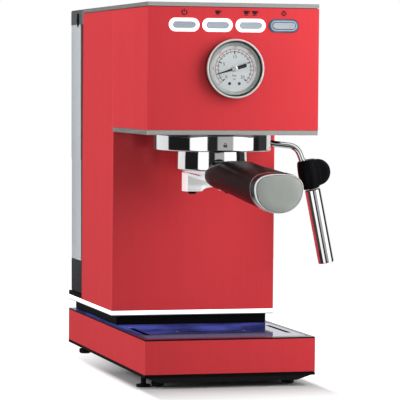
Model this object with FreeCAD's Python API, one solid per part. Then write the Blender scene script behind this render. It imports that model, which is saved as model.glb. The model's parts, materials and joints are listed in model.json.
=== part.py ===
import FreeCAD, Part
import math
import os

# A slim countertop espresso machine, in millimetres, +Z up.
# Working frame: x = 0 is the centre plane, y = 0 the front face of the head, z = 0 the worktop.
# At the end everything is shifted so that the origin is the centre of the footprint box.

V = FreeCAD.Vector
X_AXIS = V(1, 0, 0)
Y_AXIS = V(0, 1, 0)
Z_AXIS = V(0, 0, 1)

# ---------------------------------------------------------------- driving dimensions
WIDTH = 149.0
HEIGHT = 323.5
BASE_FRONT = 1.5
BASE_REAR = 303.0
COLUMN_FRONT = 125.0
COLUMN_REAR = 247.0
SHEET = 1.0
SEAM = 0.4

Z_PAN = 4.5
Z_LIP = 9.5
Z_PANEL = 12.0
Z_PANEL_TOP = 40.6
Z_RIM = 42.0
Z_LED = 50.5
Z_COLUMN = 54.8
Z_TRIM = 212.9
Z_HEAD = 217.0
Z_PANEL_END = 319.6
Z_CAP = 320.1

GROUP_Y = 70.0
GROUP_Z = 198.2
COLLAR_R = 51.5
FILTER_R = 30.5
FILTER_TOP = 204.3
FILTER_BOTTOM = 181.0
LUG_R = 34.8
HANDLE_ANGLE = 4.5
HANDLE_ROOT = 34.0
HANDLE_END = 158.0
SPOUT_X = 16.5

GAUGE_Z = 268.5
GAUGE_R = 25.0
NEEDLE_ANGLE = 197.0

BUTTON_PITCH = 28.8
BUTTON_Z = 304.8
BUTTON_TRAVEL = 1.5

WAND_X = 56.0
WAND_Y = 92.0
WAND_PIPE_R = 2.8
SLEEVE_R = 7.0
KNOB_Z = 250.0

TANK_FRONT = 248.5
TANK_REAR = 300.0
TANK_HALF = 73.4
TANK_WALL = 2.2
TANK_BOTTOM = 59.3
TANK_TOP = 311.0
LID_BOTTOM = 311.3
LID_HINGE_Y = 302.3
LID_HINGE_Z = 311.6

PUMP_X = -25.0
PUMP_Y = 190.0
PISTON_R = 5.45

CORD_X = 45.0
CORD_Z = 26.0
CORD_R = 3.6

HALF = WIDTH / 2
INNER = HALF - SHEET


# ---------------------------------------------------------------- helpers
def box(x0, x1, y0, y1, z0, z1):
    return Part.makeBox(x1 - x0, y1 - y0, z1 - z0, V(x0, y0, z0))


def slab(half, y0, y1, z0, z1):
    """A box centred on x = 0."""
    return box(-half, half, y0, y1, z0, z1)


def rod(radius, start, end):
    """A cylinder between two points."""
    along = V(*end) - V(*start)
    return Part.makeCylinder(radius, along.Length, V(*start), along)


def pipe_between(outer, inner, start, end):
    return rod(outer, start, end).cut(rod(inner, start, end))


def disc(radius, x, y, z0, z1):
    return rod(radius, (x, y, z0), (x, y, z1))


def ring(outer, inner, x, y, z0, z1):
    return disc(outer, x, y, z0, z1).cut(disc(inner, x, y, z0, z1))


def fuse(shapes):
    whole = shapes[0].multiFuse(shapes[1:]) if len(shapes) > 1 else shapes[0]
    return whole.removeSplitter()


def cut(shape, tools):
    for tool in tools:
        shape = shape.cut(tool)
    return shape


def upright_edges(shape, y_limit=None):
    """Straight edges along Z, optionally only those in front of y_limit."""
    found = []
    for edge in shape.Edges:
        a = edge.Vertexes[0].Point
        b = edge.Vertexes[-1].Point
        upright = abs(a.x - b.x) < 1e-6 and abs(a.y - b.y) < 1e-6
        if upright and (y_limit is None or a.y < y_limit):
            found.append(edge)
    return found


def rounded_slab(half, y0, y1, z0, z1, radius):
    solid = slab(half, y0, y1, z0, z1)
    return solid.makeFillet(radius, upright_edges(solid))


def rectangle(half, y0, y1, z):
    points = [V(-half, y0, z), V(half, y0, z), V(half, y1, z), V(-half, y1, z)]
    return Part.makePolygon(points + points[:1])


def pill(width, height, x, z, y0, y1):
    """A stadium outline in the XZ plane, pushed along Y."""
    r = height / 2
    s = width / 2 - r
    bar = box(x - s, x + s, y0, y1, z - r, z + r)
    return fuse([bar, rod(r, (x - s, y0, z), (x - s, y1, z)), rod(r, (x + s, y0, z), (x + s, y1, z))])


def turned(outline, centre, axis, side):
    """Revolves (radius, distance) points about an axis through centre."""
    points = [centre + side * r + axis * d for r, d in outline]
    face = Part.Face(Part.makePolygon(points + points[:1]))
    return face.revolve(centre, axis, 360)


def turned_y(outline, x, z):
    return turned(outline, V(x, 0, z), Y_AXIS, X_AXIS)


def turned_z(outline, x, y):
    return turned(outline, V(x, y, 0), Z_AXIS, X_AXIS)


def bent_tube(radius, points, bend):
    """A round bar along straight runs joined by tangent arcs of one bend radius."""
    points = [V(*p) for p in points]
    edges = []
    start = points[0]
    for here, after in zip(points[1:-1], points[2:]):
        into = (here - start).normalize()
        out = (after - here).normalize()
        turn = into.getAngle(out)
        reach = bend * math.tan(turn / 2)
        first = here - into * reach
        last = here + out * reach
        inward = (out - into).normalize()
        middle = here + inward * (bend / math.cos(turn / 2) - bend)
        edges.append(Part.LineSegment(start, first).toShape())
        edges.append(Part.Arc(first, middle, last).toShape())
        start = last
    edges.append(Part.LineSegment(start, points[-1]).toShape())
    path = Part.Wire(edges)
    along = (points[1] - points[0]).normalize()
    profile = Part.Wire(Part.makeCircle(radius, points[0], along))
    return path.makePipeShell([profile], True, False)


def around_group(angle):
    return V(0, GROUP_Y, 0), Z_AXIS, angle


def turn_about_group(shape, angle):
    turned_shape = shape.copy()
    turned_shape.rotate(*around_group(angle))
    return turned_shape


# ---------------------------------------------------------------- base
FOOT_PLACES = [(-57.6, 24), (57.6, 26), (-62, 287), (62, 287)]
SIDE_FOOT = (-69.8, 25)
SCREW_PLACES = [(-52, 145), (52, 145), (-52, 280), (52, 280)]


def base_pan():
    """Shallow moulded pan with sides that lean in towards the worktop."""
    outer = Part.makeLoft([rectangle(60.5, 9, 292, Z_PAN), rectangle(72.5, 3.5, 301, Z_LIP)], True)
    lip = slab(HALF, BASE_FRONT, BASE_REAR, Z_LIP, Z_PANEL)
    inner = Part.makeLoft([rectangle(58, 11.5, 289.5, 6.5), rectangle(71, 5.5, 299, Z_PANEL)], True)
    pan = fuse([outer, lip]).cut(inner)
    rails = [box(side * 50 - 2, side * 50 + 2, 14, 124, 6.5, 13.7) for side in (-1, 1)]
    pan = fuse([pan] + rails)
    return cut(pan, [disc(2.2, x, y, 0, 12) for x, y in SCREW_PLACES])


def base_panels():
    """Red sheets on the two sides and the rear of the base, butted at the rear corners."""
    left = box(-HALF, -INNER, 3, BASE_REAR, Z_PANEL, Z_PANEL_TOP)
    right = box(INNER, HALF, 3, BASE_REAR, Z_PANEL, Z_PANEL_TOP)
    rear = slab(INNER - 0.1, BASE_REAR - SHEET, BASE_REAR, Z_PANEL, Z_PANEL_TOP)
    hole = rod(6.5, (CORD_X, BASE_REAR - 3, CORD_Z), (CORD_X, BASE_REAR + 3, CORD_Z))
    return Part.Compound([left, right, rear.cut(hole)])


def base_deck():
    plate = slab(HALF, 127.5, BASE_REAR, Z_PANEL_TOP, Z_RIM)
    return plate.cut(slab(56, 140, 285, Z_PANEL_TOP, Z_RIM))


def base_chassis():
    """Folded steel floor that carries the deck and the column."""
    floor = slab(73.2, 130, 301.5, Z_PANEL, 13.2)
    webs = [box(s * 60.75 - 0.75, s * 60.75 + 0.75, 133, 296, 13.2, Z_PANEL_TOP) for s in (-1, 1)]
    holes = [disc(2.0, x, y, 10, 15) for x, y in SCREW_PLACES]
    return cut(fuse([floor] + webs), holes)


def rubber_feet():
    """Four domed feet and one flat disc foot on a short neck by the front left corner."""
    feet = []
    for x, y in FOOT_PLACES:
        foot = disc(5.6, x, y, 0, Z_PAN)
        sole = [e for e in foot.Edges if e.BoundBox.ZMax < 0.1]
        feet.append(foot.makeFillet(1.2, sole))
    x, y = SIDE_FOOT
    feet.append(fuse([disc(6.2, x, y, 0, 2.2), disc(2.2, x, y, 2.2, Z_LIP)]).cut(base_pan()))
    return Part.Compound(feet)


# ---------------------------------------------------------------- drip tray
def drip_tray():
    rim = slab(HALF, BASE_FRONT, 127, 40.7, Z_RIM)
    shoulder = slab(72.6, 2.6, 126.5, 38, 40.7)
    basin = slab(69.5, 5, 125, 14, 38)
    recess = slab(70.3, 11.2, 122.8, 40.95, Z_RIM)
    hollow = rounded_slab(67, 13.5, 120.5, 16, 41, 6)
    return fuse([rim, shoulder, basin]).cut(recess).cut(hollow)


def tray_front_panel():
    return slab(HALF, BASE_FRONT, BASE_FRONT + SHEET, Z_PANEL + 0.3, 40.7)


def drip_grid():
    """Polished plate with one drain slot under the spouts and one along each side."""
    plate = rounded_slab(70, 11.5, 122.5, 41, Z_RIM, 2)
    middle = rounded_slab(31.5, 61.5, 66.5, 40, 43, 2.4)
    sides = []
    for side in (-1, 1):
        slot = rounded_slab(2, 38, 105, 40, 43, 1.9)
        slot.translate(V(side * 62.5, 0, 0))
        sides.append(slot)
    return cut(plate, [middle] + sides)


# ---------------------------------------------------------------- column
def neck_housing():
    return slab(69, 130.5, 297, Z_RIM, Z_LED).cut(slab(66.5, 133, 294.5, Z_RIM, Z_LED))


def led_light_guide():
    outer = slab(HALF, COLUMN_FRONT, BASE_REAR, Z_LED, Z_COLUMN)
    return outer.cut(slab(66.5, 133, 294.5, Z_LED, Z_COLUMN))


def column_floor():
    """Moulded floor of the column that runs back as the ledge under the tank."""
    floor = slab(73.3, 126.2, COLUMN_REAR, Z_COLUMN, 57)
    ledge = slab(HALF, COLUMN_REAR, BASE_REAR + 0.5, Z_COLUMN, 59)
    spigot = disc(5, 0, 275, 57, 65)
    holes = [disc(6, PUMP_X, PUMP_Y, 50, 60), disc(8, 40, 200, 50, 60), disc(2.5, 0, 275, 50, 70)]
    return cut(fuse([floor, ledge, spigot]), holes)


def column_wrap():
    """Bent red sheet: front of the column and both its sides, up to the cap."""
    outer = slab(HALF, COLUMN_FRONT, COLUMN_REAR, Z_COLUMN, Z_PANEL_END)
    outer = outer.makeFillet(1.2, upright_edges(outer, COLUMN_FRONT + 1))
    inner = slab(INNER, COLUMN_FRONT + SHEET, COLUMN_REAR + 1, Z_COLUMN, Z_PANEL_END)
    opening = slab(INNER, COLUMN_FRONT - 1, COLUMN_FRONT + 3, Z_TRIM - 0.3, Z_PANEL_END)
    return outer.cut(inner).cut(opening)


def column_rear_wall():
    return slab(73.3, 245, COLUMN_REAR, 57, 312)


# ---------------------------------------------------------------- head
BUTTON_XS = [(i - 1.5) * BUTTON_PITCH for i in range(4)]


def head_front_panel():
    panel = slab(HALF, 0, SHEET, Z_HEAD, Z_PANEL_END)
    gauge = rod(23.2, (0, -1, GAUGE_Z), (0, 3, GAUGE_Z))
    slots = [pill(26.4, 11.2, x, BUTTON_Z, -1, 3) for x in BUTTON_XS]
    return cut(panel, [gauge] + slots)


def head_side_panels():
    left = box(-HALF, -INNER, SHEET + SEAM, COLUMN_FRONT - SEAM, Z_HEAD, Z_PANEL_END)
    right = box(INNER, HALF, SHEET + SEAM, COLUMN_FRONT - SEAM, Z_HEAD, Z_PANEL_END)
    right = right.cut(rod(4, (60, WAND_Y, KNOB_Z), (80, WAND_Y, KNOB_Z)))
    return Part.Compound([left, right])


def head_bottom_trim():
    """Satin frame round the lower edge of the head, open where it meets the column."""
    outer = slab(HALF, 0, COLUMN_FRONT - 0.2, Z_TRIM, Z_HEAD)
    return outer.cut(slab(72.5, 2, COLUMN_FRONT, Z_TRIM, Z_HEAD))


def head_floor_plate():
    plate = slab(72.3, 2.2, COLUMN_FRONT - 0.4, 213, 215)
    return cut(plate, [disc(46.3, 0, GROUP_Y, 210, 217), disc(7.3, WAND_X, WAND_Y, 210, 217)])


def top_cap():
    """Satin cap, sunk a little inside its edge so that cups stand on it."""
    cap = slab(HALF, 0, COLUMN_REAR - 0.3, Z_CAP, HEIGHT)
    well = rounded_slab(HALF - 4, 4, 238, HEIGHT - 1.4, HEIGHT, 6)
    vents = []
    for i in range(9):
        vent = rounded_slab(1.5, 196, 228, Z_CAP, HEIGHT, 1.4)
        vent.translate(V((i - 4) * 10, 0, 0))
        vents.append(vent)
    return cut(cap, [well] + vents)


def inner_frame():
    """Steel cheeks, the shelf that carries the group and the black collar under the cap."""
    parts = []
    for side in (-1, 1):
        x0, x1 = sorted((side * 70.8, side * 72.3))
        parts.append(box(x0, x1, 128, 243, 57, 312))
        parts.append(box(x0, x1, 3, 128, 215, 312))
    shelf = slab(70.8, 4, 236, 220, 221.5)
    parts.append(shelf.cut(slab(40, 135, 225, 219, 223)))
    top = slab(73.3, 1.3, 246.6, 312, Z_CAP).cut(slab(70.5, 4, 243, 312, Z_CAP))
    frame = fuse(parts + [top])
    holes = [disc(8.5, WAND_X, WAND_Y, 219, 223), disc(3, 12, GROUP_Y, 219, 223)]
    holes.append(rod(7, (68, WAND_Y, KNOB_Z), (74, WAND_Y, KNOB_Z)))
    holes += [disc(2.0, x, y, 219, 223) for x, y in GROUP_SCREWS]
    return cut(frame, holes)


# ---------------------------------------------------------------- pressure gauge
def gauge_bezel():
    outline = [(24.45, 0), (25, 0), (25, -4.6), (24.6, -5.7), (23.8, -6.4), (22.8, -6.6),
               (21.8, -6.4), (21.0, -5.8), (20.5, -4.8), (24.45, -4.8)]
    return turned_y(outline, 0, GAUGE_Z)


def gauge_case():
    outline = [(22.0, -3.6), (24.4, -3.6), (24.4, 0), (22.9, 0), (22.9, 26), (4, 26), (4, 32),
               (2, 32), (2, 24.8), (21.5, 24.8), (21.5, -1.7), (19.7, -1.7)]
    return turned_y(outline, 0, GAUGE_Z)


def gauge_dial():
    return turned_y([(1.2, -1.7), (21.4, -1.7), (21.4, -0.9), (1.2, -0.9)], 0, GAUGE_Z)


def gauge_glass():
    return rod(24.3, (0, -4.8, GAUGE_Z), (0, -3.6, GAUGE_Z))


def gauge_needle():
    """Pointer, counterweight tail, hub and shaft, pointing at the stored reading."""
    tip, tail, half = 15.0, 9.4, 0.45
    points = [V(tip, 0, 0), V(1.5, 0, 1.0), V(-2, 0, 0.9), V(-tail, 0, 1.7),
              V(-tail, 0, -1.7), V(-2, 0, -0.9), V(1.5, 0, -1.0)]
    blade = Part.Face(Part.makePolygon(points + points[:1])).extrude(V(0, half, 0))
    blade.rotate(V(0, 0, 0), Y_AXIS, -NEEDLE_ANGLE)
    blade.translate(V(0, -3.0, GAUGE_Z))
    hub = rod(1.9, (0, -3.3, GAUGE_Z), (0, -2.1, GAUGE_Z))
    shaft = rod(0.8, (0, -2.1, GAUGE_Z), (0, 9, GAUGE_Z))
    return fuse([blade, hub, shaft])


def gauge_movement():
    """Curved pressure tube on its block, and the bush that the needle's shaft turns in."""
    curl = Part.makeTorus(14.5, 1.8, V(0, 8, GAUGE_Z), Y_AXIS)
    curl = curl.cut(box(-4, 4, 0, 20, GAUGE_Z - 20, GAUGE_Z))
    block = box(-4.2, 4.2, 5, 24.8, GAUGE_Z - 19, GAUGE_Z - 10)
    bush = pipe_between(2.6, 0.85, (0, 3, GAUGE_Z), (0, 8, GAUGE_Z))
    plate = box(-2.6, 2.6, 3, 5, GAUGE_Z - 12, GAUGE_Z - 1.8).cut(rod(0.85, (0, 2, GAUGE_Z), (0, 9, GAUGE_Z)))
    return fuse([curl, block, plate, bush])


# ---------------------------------------------------------------- buttons
def button_light_rings():
    rings = []
    for x in BUTTON_XS:
        outer = fuse([pill(26.2, 11, x, BUTTON_Z, -0.8, 1), pill(28.2, 13, x, BUTTON_Z, 1, 3)])
        rings.append(outer.cut(pill(20.3, 6.1, x, BUTTON_Z, -2, 4)))
    return Part.Compound(rings)


def push_button(x):
    face = pill(19.7, 5.5, x, BUTTON_Z, -1.4, 3.6)
    flange = pill(22, 8, x, BUTTON_Z, 3.6, 4.6)
    stem = rod(1.8, (x, 4.6, BUTTON_Z), (x, 7.2, BUTTON_Z))
    return fuse([face, flange, stem])


def button_board():
    board = box(-64, 64, 10.8, 12.4, 297, 311)
    switches = [box(x - 3, x + 3, 9.2, 10.8, BUTTON_Z - 3, BUTTON_Z + 3) for x in BUTTON_XS]
    posts = [rod(2, (s * 60.5, SHEET, BUTTON_Z), (s * 60.5, 10.8, BUTTON_Z)) for s in (-1, 1)]
    return fuse([board] + switches + posts)


# ---------------------------------------------------------------- brew group
LUG_ANGLES = (30, 150, 270)
LUG_SPREAD = 26
ENTRY_TURN = -45
GROUP_SCREWS = [(x, GROUP_Y + y) for x in (-26, 26) for y in (-26, 26)]


def sector(radius, middle, spread, z0, z1):
    """A wedge of a disc about the group axis."""
    wedge = Part.makeCylinder(radius, z1 - z0, V(0, GROUP_Y, z0), Z_AXIS, spread)
    return turn_about_group(wedge, middle - spread / 2)


def group_collar():
    shell = ring(COLLAR_R, COLLAR_R - 1.8, 0, GROUP_Y, GROUP_Z, 213)
    floor = ring(COLLAR_R - 1.8, FILTER_R + 1.1, 0, GROUP_Y, GROUP_Z, GROUP_Z + 1.5)
    collar = fuse([shell, floor])
    rim = [e for e in collar.Edges if abs(e.BoundBox.ZMax - GROUP_Z) < 1e-6 and e.BoundBox.XLength > 100]
    return collar.makeFillet(1.2, rim)


def group_head():
    """Casting with the bayonet track, the gasket seat and the water way."""
    body = disc(46, 0, GROUP_Y, 200, 220)
    tools = [disc(31.0, 0, GROUP_Y, 200, 206), disc(35.3, 0, GROUP_Y, 201.6, 206.4)]
    tools += [sector(35.3, a + ENTRY_TURN, LUG_SPREAD + 6, 199, 203) for a in LUG_ANGLES]
    tools.append(ring(31.0, 24.5, 0, GROUP_Y, 205, 210))
    tools.append(disc(24.5, 0, GROUP_Y, 205, 208.6))
    tools.append(disc(2.5, 0, GROUP_Y, 205, 216))
    tools.append(disc(2, 12, GROUP_Y, 205, 221))
    tools += [disc(2.0, x, y, 212, 221) for x, y in GROUP_SCREWS]
    return cut(body, tools)


def group_gasket():
    return ring(30.9, 24.6, 0, GROUP_Y, 205.3, 210)


def shower_screen():
    plate = disc(24.2, 0, GROUP_Y, 207.6, 208.6)
    holes = [disc(2.6, 0, GROUP_Y, 207, 209)]
    for radius, count in ((8, 8), (13, 14), (18, 20)):
        for i in range(count):
            a = 2 * math.pi * i / count
            holes.append(disc(0.8, radius * math.cos(a), GROUP_Y + radius * math.sin(a), 207, 209))
    return plate.cut(Part.Compound(holes))


def thermoblock():
    """Cast heater block with cooling fins, standing on a boss over the group."""
    block = box(-38, 38, GROUP_Y - 36, GROUP_Y + 40, 226, 250)
    fins = [box(-36 + 9 * i, -32 + 9 * i, GROUP_Y - 30, GROUP_Y + 34, 250, 256) for i in range(9)]
    boss = disc(18, 0, GROUP_Y, 221.5, 226)
    outlet = rod(4, (38, WAND_Y, 243), (40, WAND_Y, 243))
    return cut(fuse([block, boss, outlet] + fins), [disc(2, 12, GROUP_Y, 221, 235)])


# ---------------------------------------------------------------- steam side
def steam_valve_body():
    """Brass block with the knob's spindle bore and the swivel socket of the wand."""
    block = box(WAND_X - 12, WAND_X + 10, WAND_Y - 11, WAND_Y + 11, 239, 261)
    neck = disc(7, WAND_X, WAND_Y, 213.4, 239)
    gland = rod(6, (WAND_X + 10, WAND_Y, KNOB_Z), (WAND_X + 14, WAND_Y, KNOB_Z))
    tools = [disc(WAND_PIPE_R + 0.06, WAND_X, WAND_Y, 205, 226)]
    tools.append(rod(3.05, (WAND_X - 4, WAND_Y, KNOB_Z), (WAND_X + 16, WAND_Y, KNOB_Z)))
    return cut(fuse([block, neck, gland]), tools)


def steam_knob():
    """Fluted knob and its spindle, which screws the steam valve open."""
    spindle = rod(3, (WAND_X - 3, WAND_Y, KNOB_Z), (HALF + 4, WAND_Y, KNOB_Z))
    knob = rod(17, (HALF + 1.2, WAND_Y, KNOB_Z), (HALF + 15, WAND_Y, KNOB_Z))
    knob = knob.makeFillet(1.5, [e for e in knob.Edges if e.BoundBox.XMin > HALF + 14])
    flutes = []
    for i in range(16):
        a = 2 * math.pi * i / 16
        y, z = WAND_Y + 18.6 * math.cos(a), KNOB_Z + 18.6 * math.sin(a)
        flutes.append(rod(2.6, (HALF + 3.5, y, z), (HALF + 20, y, z)))
    return fuse([spindle, knob.cut(Part.Compound(flutes))])


WAND_PATH = [(WAND_X, WAND_Y, 224), (WAND_X, WAND_Y, 204.2), (84.7, WAND_Y, 201.2),
             (99.2, WAND_Y, 165.6), (111.4, WAND_Y, 106.5)]
SLEEVE_TOP = V(99.5, WAND_Y, 164.2)
SLEEVE_END = V(113.2, WAND_Y, 98.1)
SLEEVE_DIR = (SLEEVE_END - SLEEVE_TOP).normalize()


def steam_pipe():
    return bent_tube(WAND_PIPE_R, WAND_PATH, 9)


def wand_grip():
    """Heat-proof grip moulded round the pipe, with a round thumb pad on its outer side."""
    top = SLEEVE_TOP - SLEEVE_DIR * 25.5
    barrel = Part.makeCone(9.4, 7.8, 26, top, SLEEVE_DIR)
    barrel.translate(V(-1.4, 0, 0))
    middle = SLEEVE_TOP - SLEEVE_DIR * 15
    pad = Part.makeCylinder(11.8, 9, V(middle.x + 7.5, WAND_Y - 4.5, middle.z - 0.4), Y_AXIS)
    pad = pad.makeFillet(1.6, pad.Edges[:1] + pad.Edges[2:3])
    collar = Part.makeCylinder(4.4, 3, top - SLEEVE_DIR * 2.6 + V(-1.0, 0, 0), SLEEVE_DIR)
    grip = fuse([barrel, pad, collar])
    return grip.cut(steam_pipe())


def wand_sleeve():
    """Open steel sleeve round the nozzle, held by its upper ring."""
    start = SLEEVE_TOP + SLEEVE_DIR * 0.8
    length = (SLEEVE_END - start).Length
    shell = Part.makeCylinder(SLEEVE_R, length, start, SLEEVE_DIR)
    bore = Part.makeCylinder(SLEEVE_R - 0.9, length, start + SLEEVE_DIR * 8, SLEEVE_DIR)
    grip_bore = Part.makeCylinder(WAND_PIPE_R + 0.06, length, start - SLEEVE_DIR, SLEEVE_DIR)
    return cut(shell, [bore, grip_bore])


# ---------------------------------------------------------------- portafilter
HANDLE_RAD = math.radians(HANDLE_ANGLE)
FORWARD = V(math.sin(HANDLE_RAD), -math.cos(HANDLE_RAD), 0)
SIDEWAYS = V(math.cos(HANDLE_RAD), math.sin(HANDLE_RAD), 0)


def on_handle(reach, side, z):
    """A point at a distance out along the handle, to one side of it, at a height."""
    return V(0, GROUP_Y, z) + FORWARD * reach + SIDEWAYS * side


def portafilter_body():
    outline = [(28.4, FILTER_TOP), (FILTER_R, FILTER_TOP), (FILTER_R, 183), (28.6, FILTER_BOTTOM),
               (12, 177.5), (9, 177), (3, 177), (3, 179.4), (12, 180.4), (28.4, 185)]
    body = turned_z(outline, 0, GROUP_Y)
    lugs = []
    for a in LUG_ANGLES:
        lug = sector(LUG_R, a, LUG_SPREAD, 202, FILTER_TOP)
        lugs.append(lug.cut(disc(29, 0, GROUP_Y, 200, 206)))
    neck = Part.makeBox(16, 12, 6)
    neck.translate(V(-8, -12, 0))
    neck.rotate(V(0, 0, 0), Z_AXIS, HANDLE_ANGLE)
    neck.translate(on_handle(HANDLE_ROOT - 12.2, 0, 181.4))
    neck = neck.cut(disc(29, 0, GROUP_Y, 170, 206))
    stud = Part.makeCylinder(4, 70, on_handle(HANDLE_ROOT - 4, 0, 182.2), FORWARD + V(0, 0, -0.1))
    return fuse([body] + lugs + [neck, stud])


def filter_basket():
    """Perforated basket that hangs from its rim in the portafilter."""
    cup = disc(26.6, 0, GROUP_Y, 187, FILTER_TOP)
    rim = disc(30.2, 0, GROUP_Y, FILTER_TOP, FILTER_TOP + 0.7)
    hollow = disc(26.0, 0, GROUP_Y, 187.6, 206)
    holes = [disc(0.6, 0, GROUP_Y, 186, 189)]
    for radius, count in ((5, 8), (10, 14), (15, 22), (20, 28)):
        for i in range(count):
            a = 2 * math.pi * i / count
            holes.append(disc(0.6, radius * math.cos(a), GROUP_Y + radius * math.sin(a), 186, 189))
    return fuse([cup, rim]).cut(hollow).cut(Part.Compound(holes))


def basket_clip():
    """Wire ring between the basket and the bowl."""
    return Part.makeTorus(27.5, 0.7, V(0, GROUP_Y, 200), Z_AXIS)


def double_spout():
    """Two outlets on one cross bar, arched between them, each with a short nozzle."""
    arch = Part.Arc(V(9, 0, 163), V(0, 0, 168.5), V(-9, 0, 163)).toShape()
    corners = [V(-9, 0, 163), V(-24.5, 0, 163), V(-24.5, 0, 174), V(-21, 0, 176.5), V(-9, 0, 177),
               V(9, 0, 177), V(21, 0, 176.5), V(24.5, 0, 174), V(24.5, 0, 163), V(9, 0, 163)]
    edges = [Part.LineSegment(a, b).toShape() for a, b in zip(corners, corners[1:])]
    bar = Part.Face(Part.Wire(edges + [arch])).extrude(V(0, 14, 0))
    bar.translate(V(0, GROUP_Y - 7, 0))
    bar = bar.makeFillet(2.0, upright_edges(bar))
    nozzles = [disc(3.1, s * SPOUT_X, GROUP_Y, 160.8, 163) for s in (-1, 1)]
    ways = [disc(1.9, s * SPOUT_X, GROUP_Y, 160, 172) for s in (-1, 1)]
    ways.append(rod(1.9, (-SPOUT_X, GROUP_Y, 172), (SPOUT_X, GROUP_Y, 172)))
    ways.append(disc(2.4, 0, GROUP_Y, 172, 178))
    return cut(fuse([bar] + nozzles), ways)


def grip_section(reach, z, half_width, half_height, lean=0.1, points=28):
    """Closed egg-shaped outline across the handle, wider above than below."""
    outline = []
    for i in range(points):
        t = 2 * math.pi * i / points
        c, s = math.cos(t), math.sin(t)
        side = half_width * math.copysign(abs(c) ** 0.9, c) * (1 + lean * s)
        outline.append(on_handle(reach, side, z + half_height * math.copysign(abs(s) ** 0.9, s)))
    curve = Part.BSplineCurve()
    curve.interpolate(Points=outline, PeriodicFlag=True)
    return Part.Wire(curve.toShape())


GRIP_STATIONS = [(HANDLE_ROOT, 178.2, 13, 8.0), (36.5, 178.1, 16.6, 10.4), (41.5, 177.9, 18.8, 11.7),
                 (60, 176.8, 19.3, 12.6), (100, 173.6, 19.9, 14.6), (140, 170.2, 21.0, 16.6),
                 (HANDLE_END, 168.6, 21.7, 17.3)]


def handle_grip():
    grip = Part.makeLoft([grip_section(*station) for station in GRIP_STATIONS], True)
    pocket = Part.makeBox(17, 16.5, 10)
    pocket.translate(V(-12, -16.5, 0))
    pocket.rotate(V(0, 0, 0), Z_AXIS, HANDLE_ANGLE)
    pocket.translate(on_handle(31, 0, 187.4))
    return cut(grip, [portafilter_body(), pocket])


def handle_end_ring():
    outer = Part.makeLoft([grip_section(HANDLE_END, 168.6, 21.9, 17.5),
                           grip_section(HANDLE_END + 4.5, 168.4, 22.2, 17.8)], True)
    inner = Part.makeLoft([grip_section(HANDLE_END + 2.6, 168.5, 20.3, 15.9),
                           grip_section(HANDLE_END + 5.5, 168.4, 20.4, 16.0)], True)
    return outer.cut(inner)


def handle_end_cap():
    return Part.makeLoft([grip_section(HANDLE_END + 2.6, 168.5, 20.1, 15.7),
                          grip_section(HANDLE_END + 5.1, 168.4, 20.1, 15.7)], True)


LATCH_Z = 187.9
LATCH_PIVOT = on_handle(45, -3.5, LATCH_Z + 1.1)


def basket_latch():
    """Flip lever that holds the basket while the grounds are knocked out."""
    plate = Part.makeBox(15, 12.5, 2.2)
    plate.translate(V(-11, -12.5, 0))
    plate.rotate(V(0, 0, 0), Z_AXIS, HANDLE_ANGLE)
    plate.translate(on_handle(32.5, 0, LATCH_Z))
    barrel = Part.makeCylinder(1.1, 15, on_handle(45, -11, LATCH_Z + 1.1), SIDEWAYS)
    return fuse([plate, barrel])


# ---------------------------------------------------------------- water tank
def water_tank():
    shell = rounded_slab(TANK_HALF, TANK_FRONT, TANK_REAR, TANK_BOTTOM, TANK_TOP, 4)
    hollow = rounded_slab(TANK_HALF - TANK_WALL, TANK_FRONT + TANK_WALL, TANK_REAR - TANK_WALL,
                          TANK_BOTTOM + 2.7, TANK_TOP, 2)
    valve = disc(8, 0, 275, TANK_BOTTOM, 69)
    ears = []
    for side in (-1, 1):
        x0, x1 = sorted((side * 56.3, side * 60))
        ear = rod(2.2, (x0, LID_HINGE_Y, LID_HINGE_Z), (x1, LID_HINGE_Y, LID_HINGE_Z))
        arm = box(x0, x1, TANK_REAR, LID_HINGE_Y + 2.2, TANK_TOP - 8, LID_HINGE_Z)
        arm = arm.makeFillet(3, [e for e in arm.Edges if e.BoundBox.YMin > TANK_REAR + 3
                                 and e.BoundBox.ZMax < TANK_TOP - 7])
        ears.append(fuse([ear, arm]))
    tank = fuse([shell.cut(hollow), valve] + ears)
    pins = rod(1.05, (-62, LID_HINGE_Y, LID_HINGE_Z), (62, LID_HINGE_Y, LID_HINGE_Z))
    return cut(tank, [disc(5.3, 0, 275, 59, 66), disc(1.5, 0, 275, 60, 70), pins])


def tank_lid():
    """Hinged lid: a shallow tray turned over, with its hinge barrel along the rear edge."""
    shell = rounded_slab(TANK_HALF + 0.3, COLUMN_REAR + 0.6, TANK_REAR - 0.3, LID_BOTTOM, HEIGHT, 4)
    shell = shell.cut(rounded_slab(TANK_HALF - 1.7, COLUMN_REAR + 2.6, TANK_REAR - 2.3,
                                   LID_BOTTOM, HEIGHT - 2, 3))
    web = slab(56, TANK_REAR - 1.5, LID_HINGE_Y, LID_HINGE_Z, LID_HINGE_Z + 1.8)
    barrel = rod(1.8, (-56, LID_HINGE_Y, LID_HINGE_Z), (56, LID_HINGE_Y, LID_HINGE_Z))
    pins = rod(1.0, (-59.5, LID_HINGE_Y, LID_HINGE_Z), (59.5, LID_HINGE_Y, LID_HINGE_Z))
    return fuse([shell, web, barrel, pins])


def lid_clips():
    """Black tongues on both sides of the lid that snap over the tank's walls."""
    clips = []
    for side in (-1, 1):
        points = [V(0, 262.5, 320), V(0, 267.5, 320), V(0, 270, 313), V(0, 265.8, 307), V(0, 261.5, 312)]
        blade = Part.Face(Part.makePolygon(points + points[:1])).extrude(V(side * 0.8, 0, 0))
        blade.translate(V(side * (TANK_HALF + 0.3), 0, 0))
        clips.append(blade)
    return Part.Compound(clips)


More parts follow.
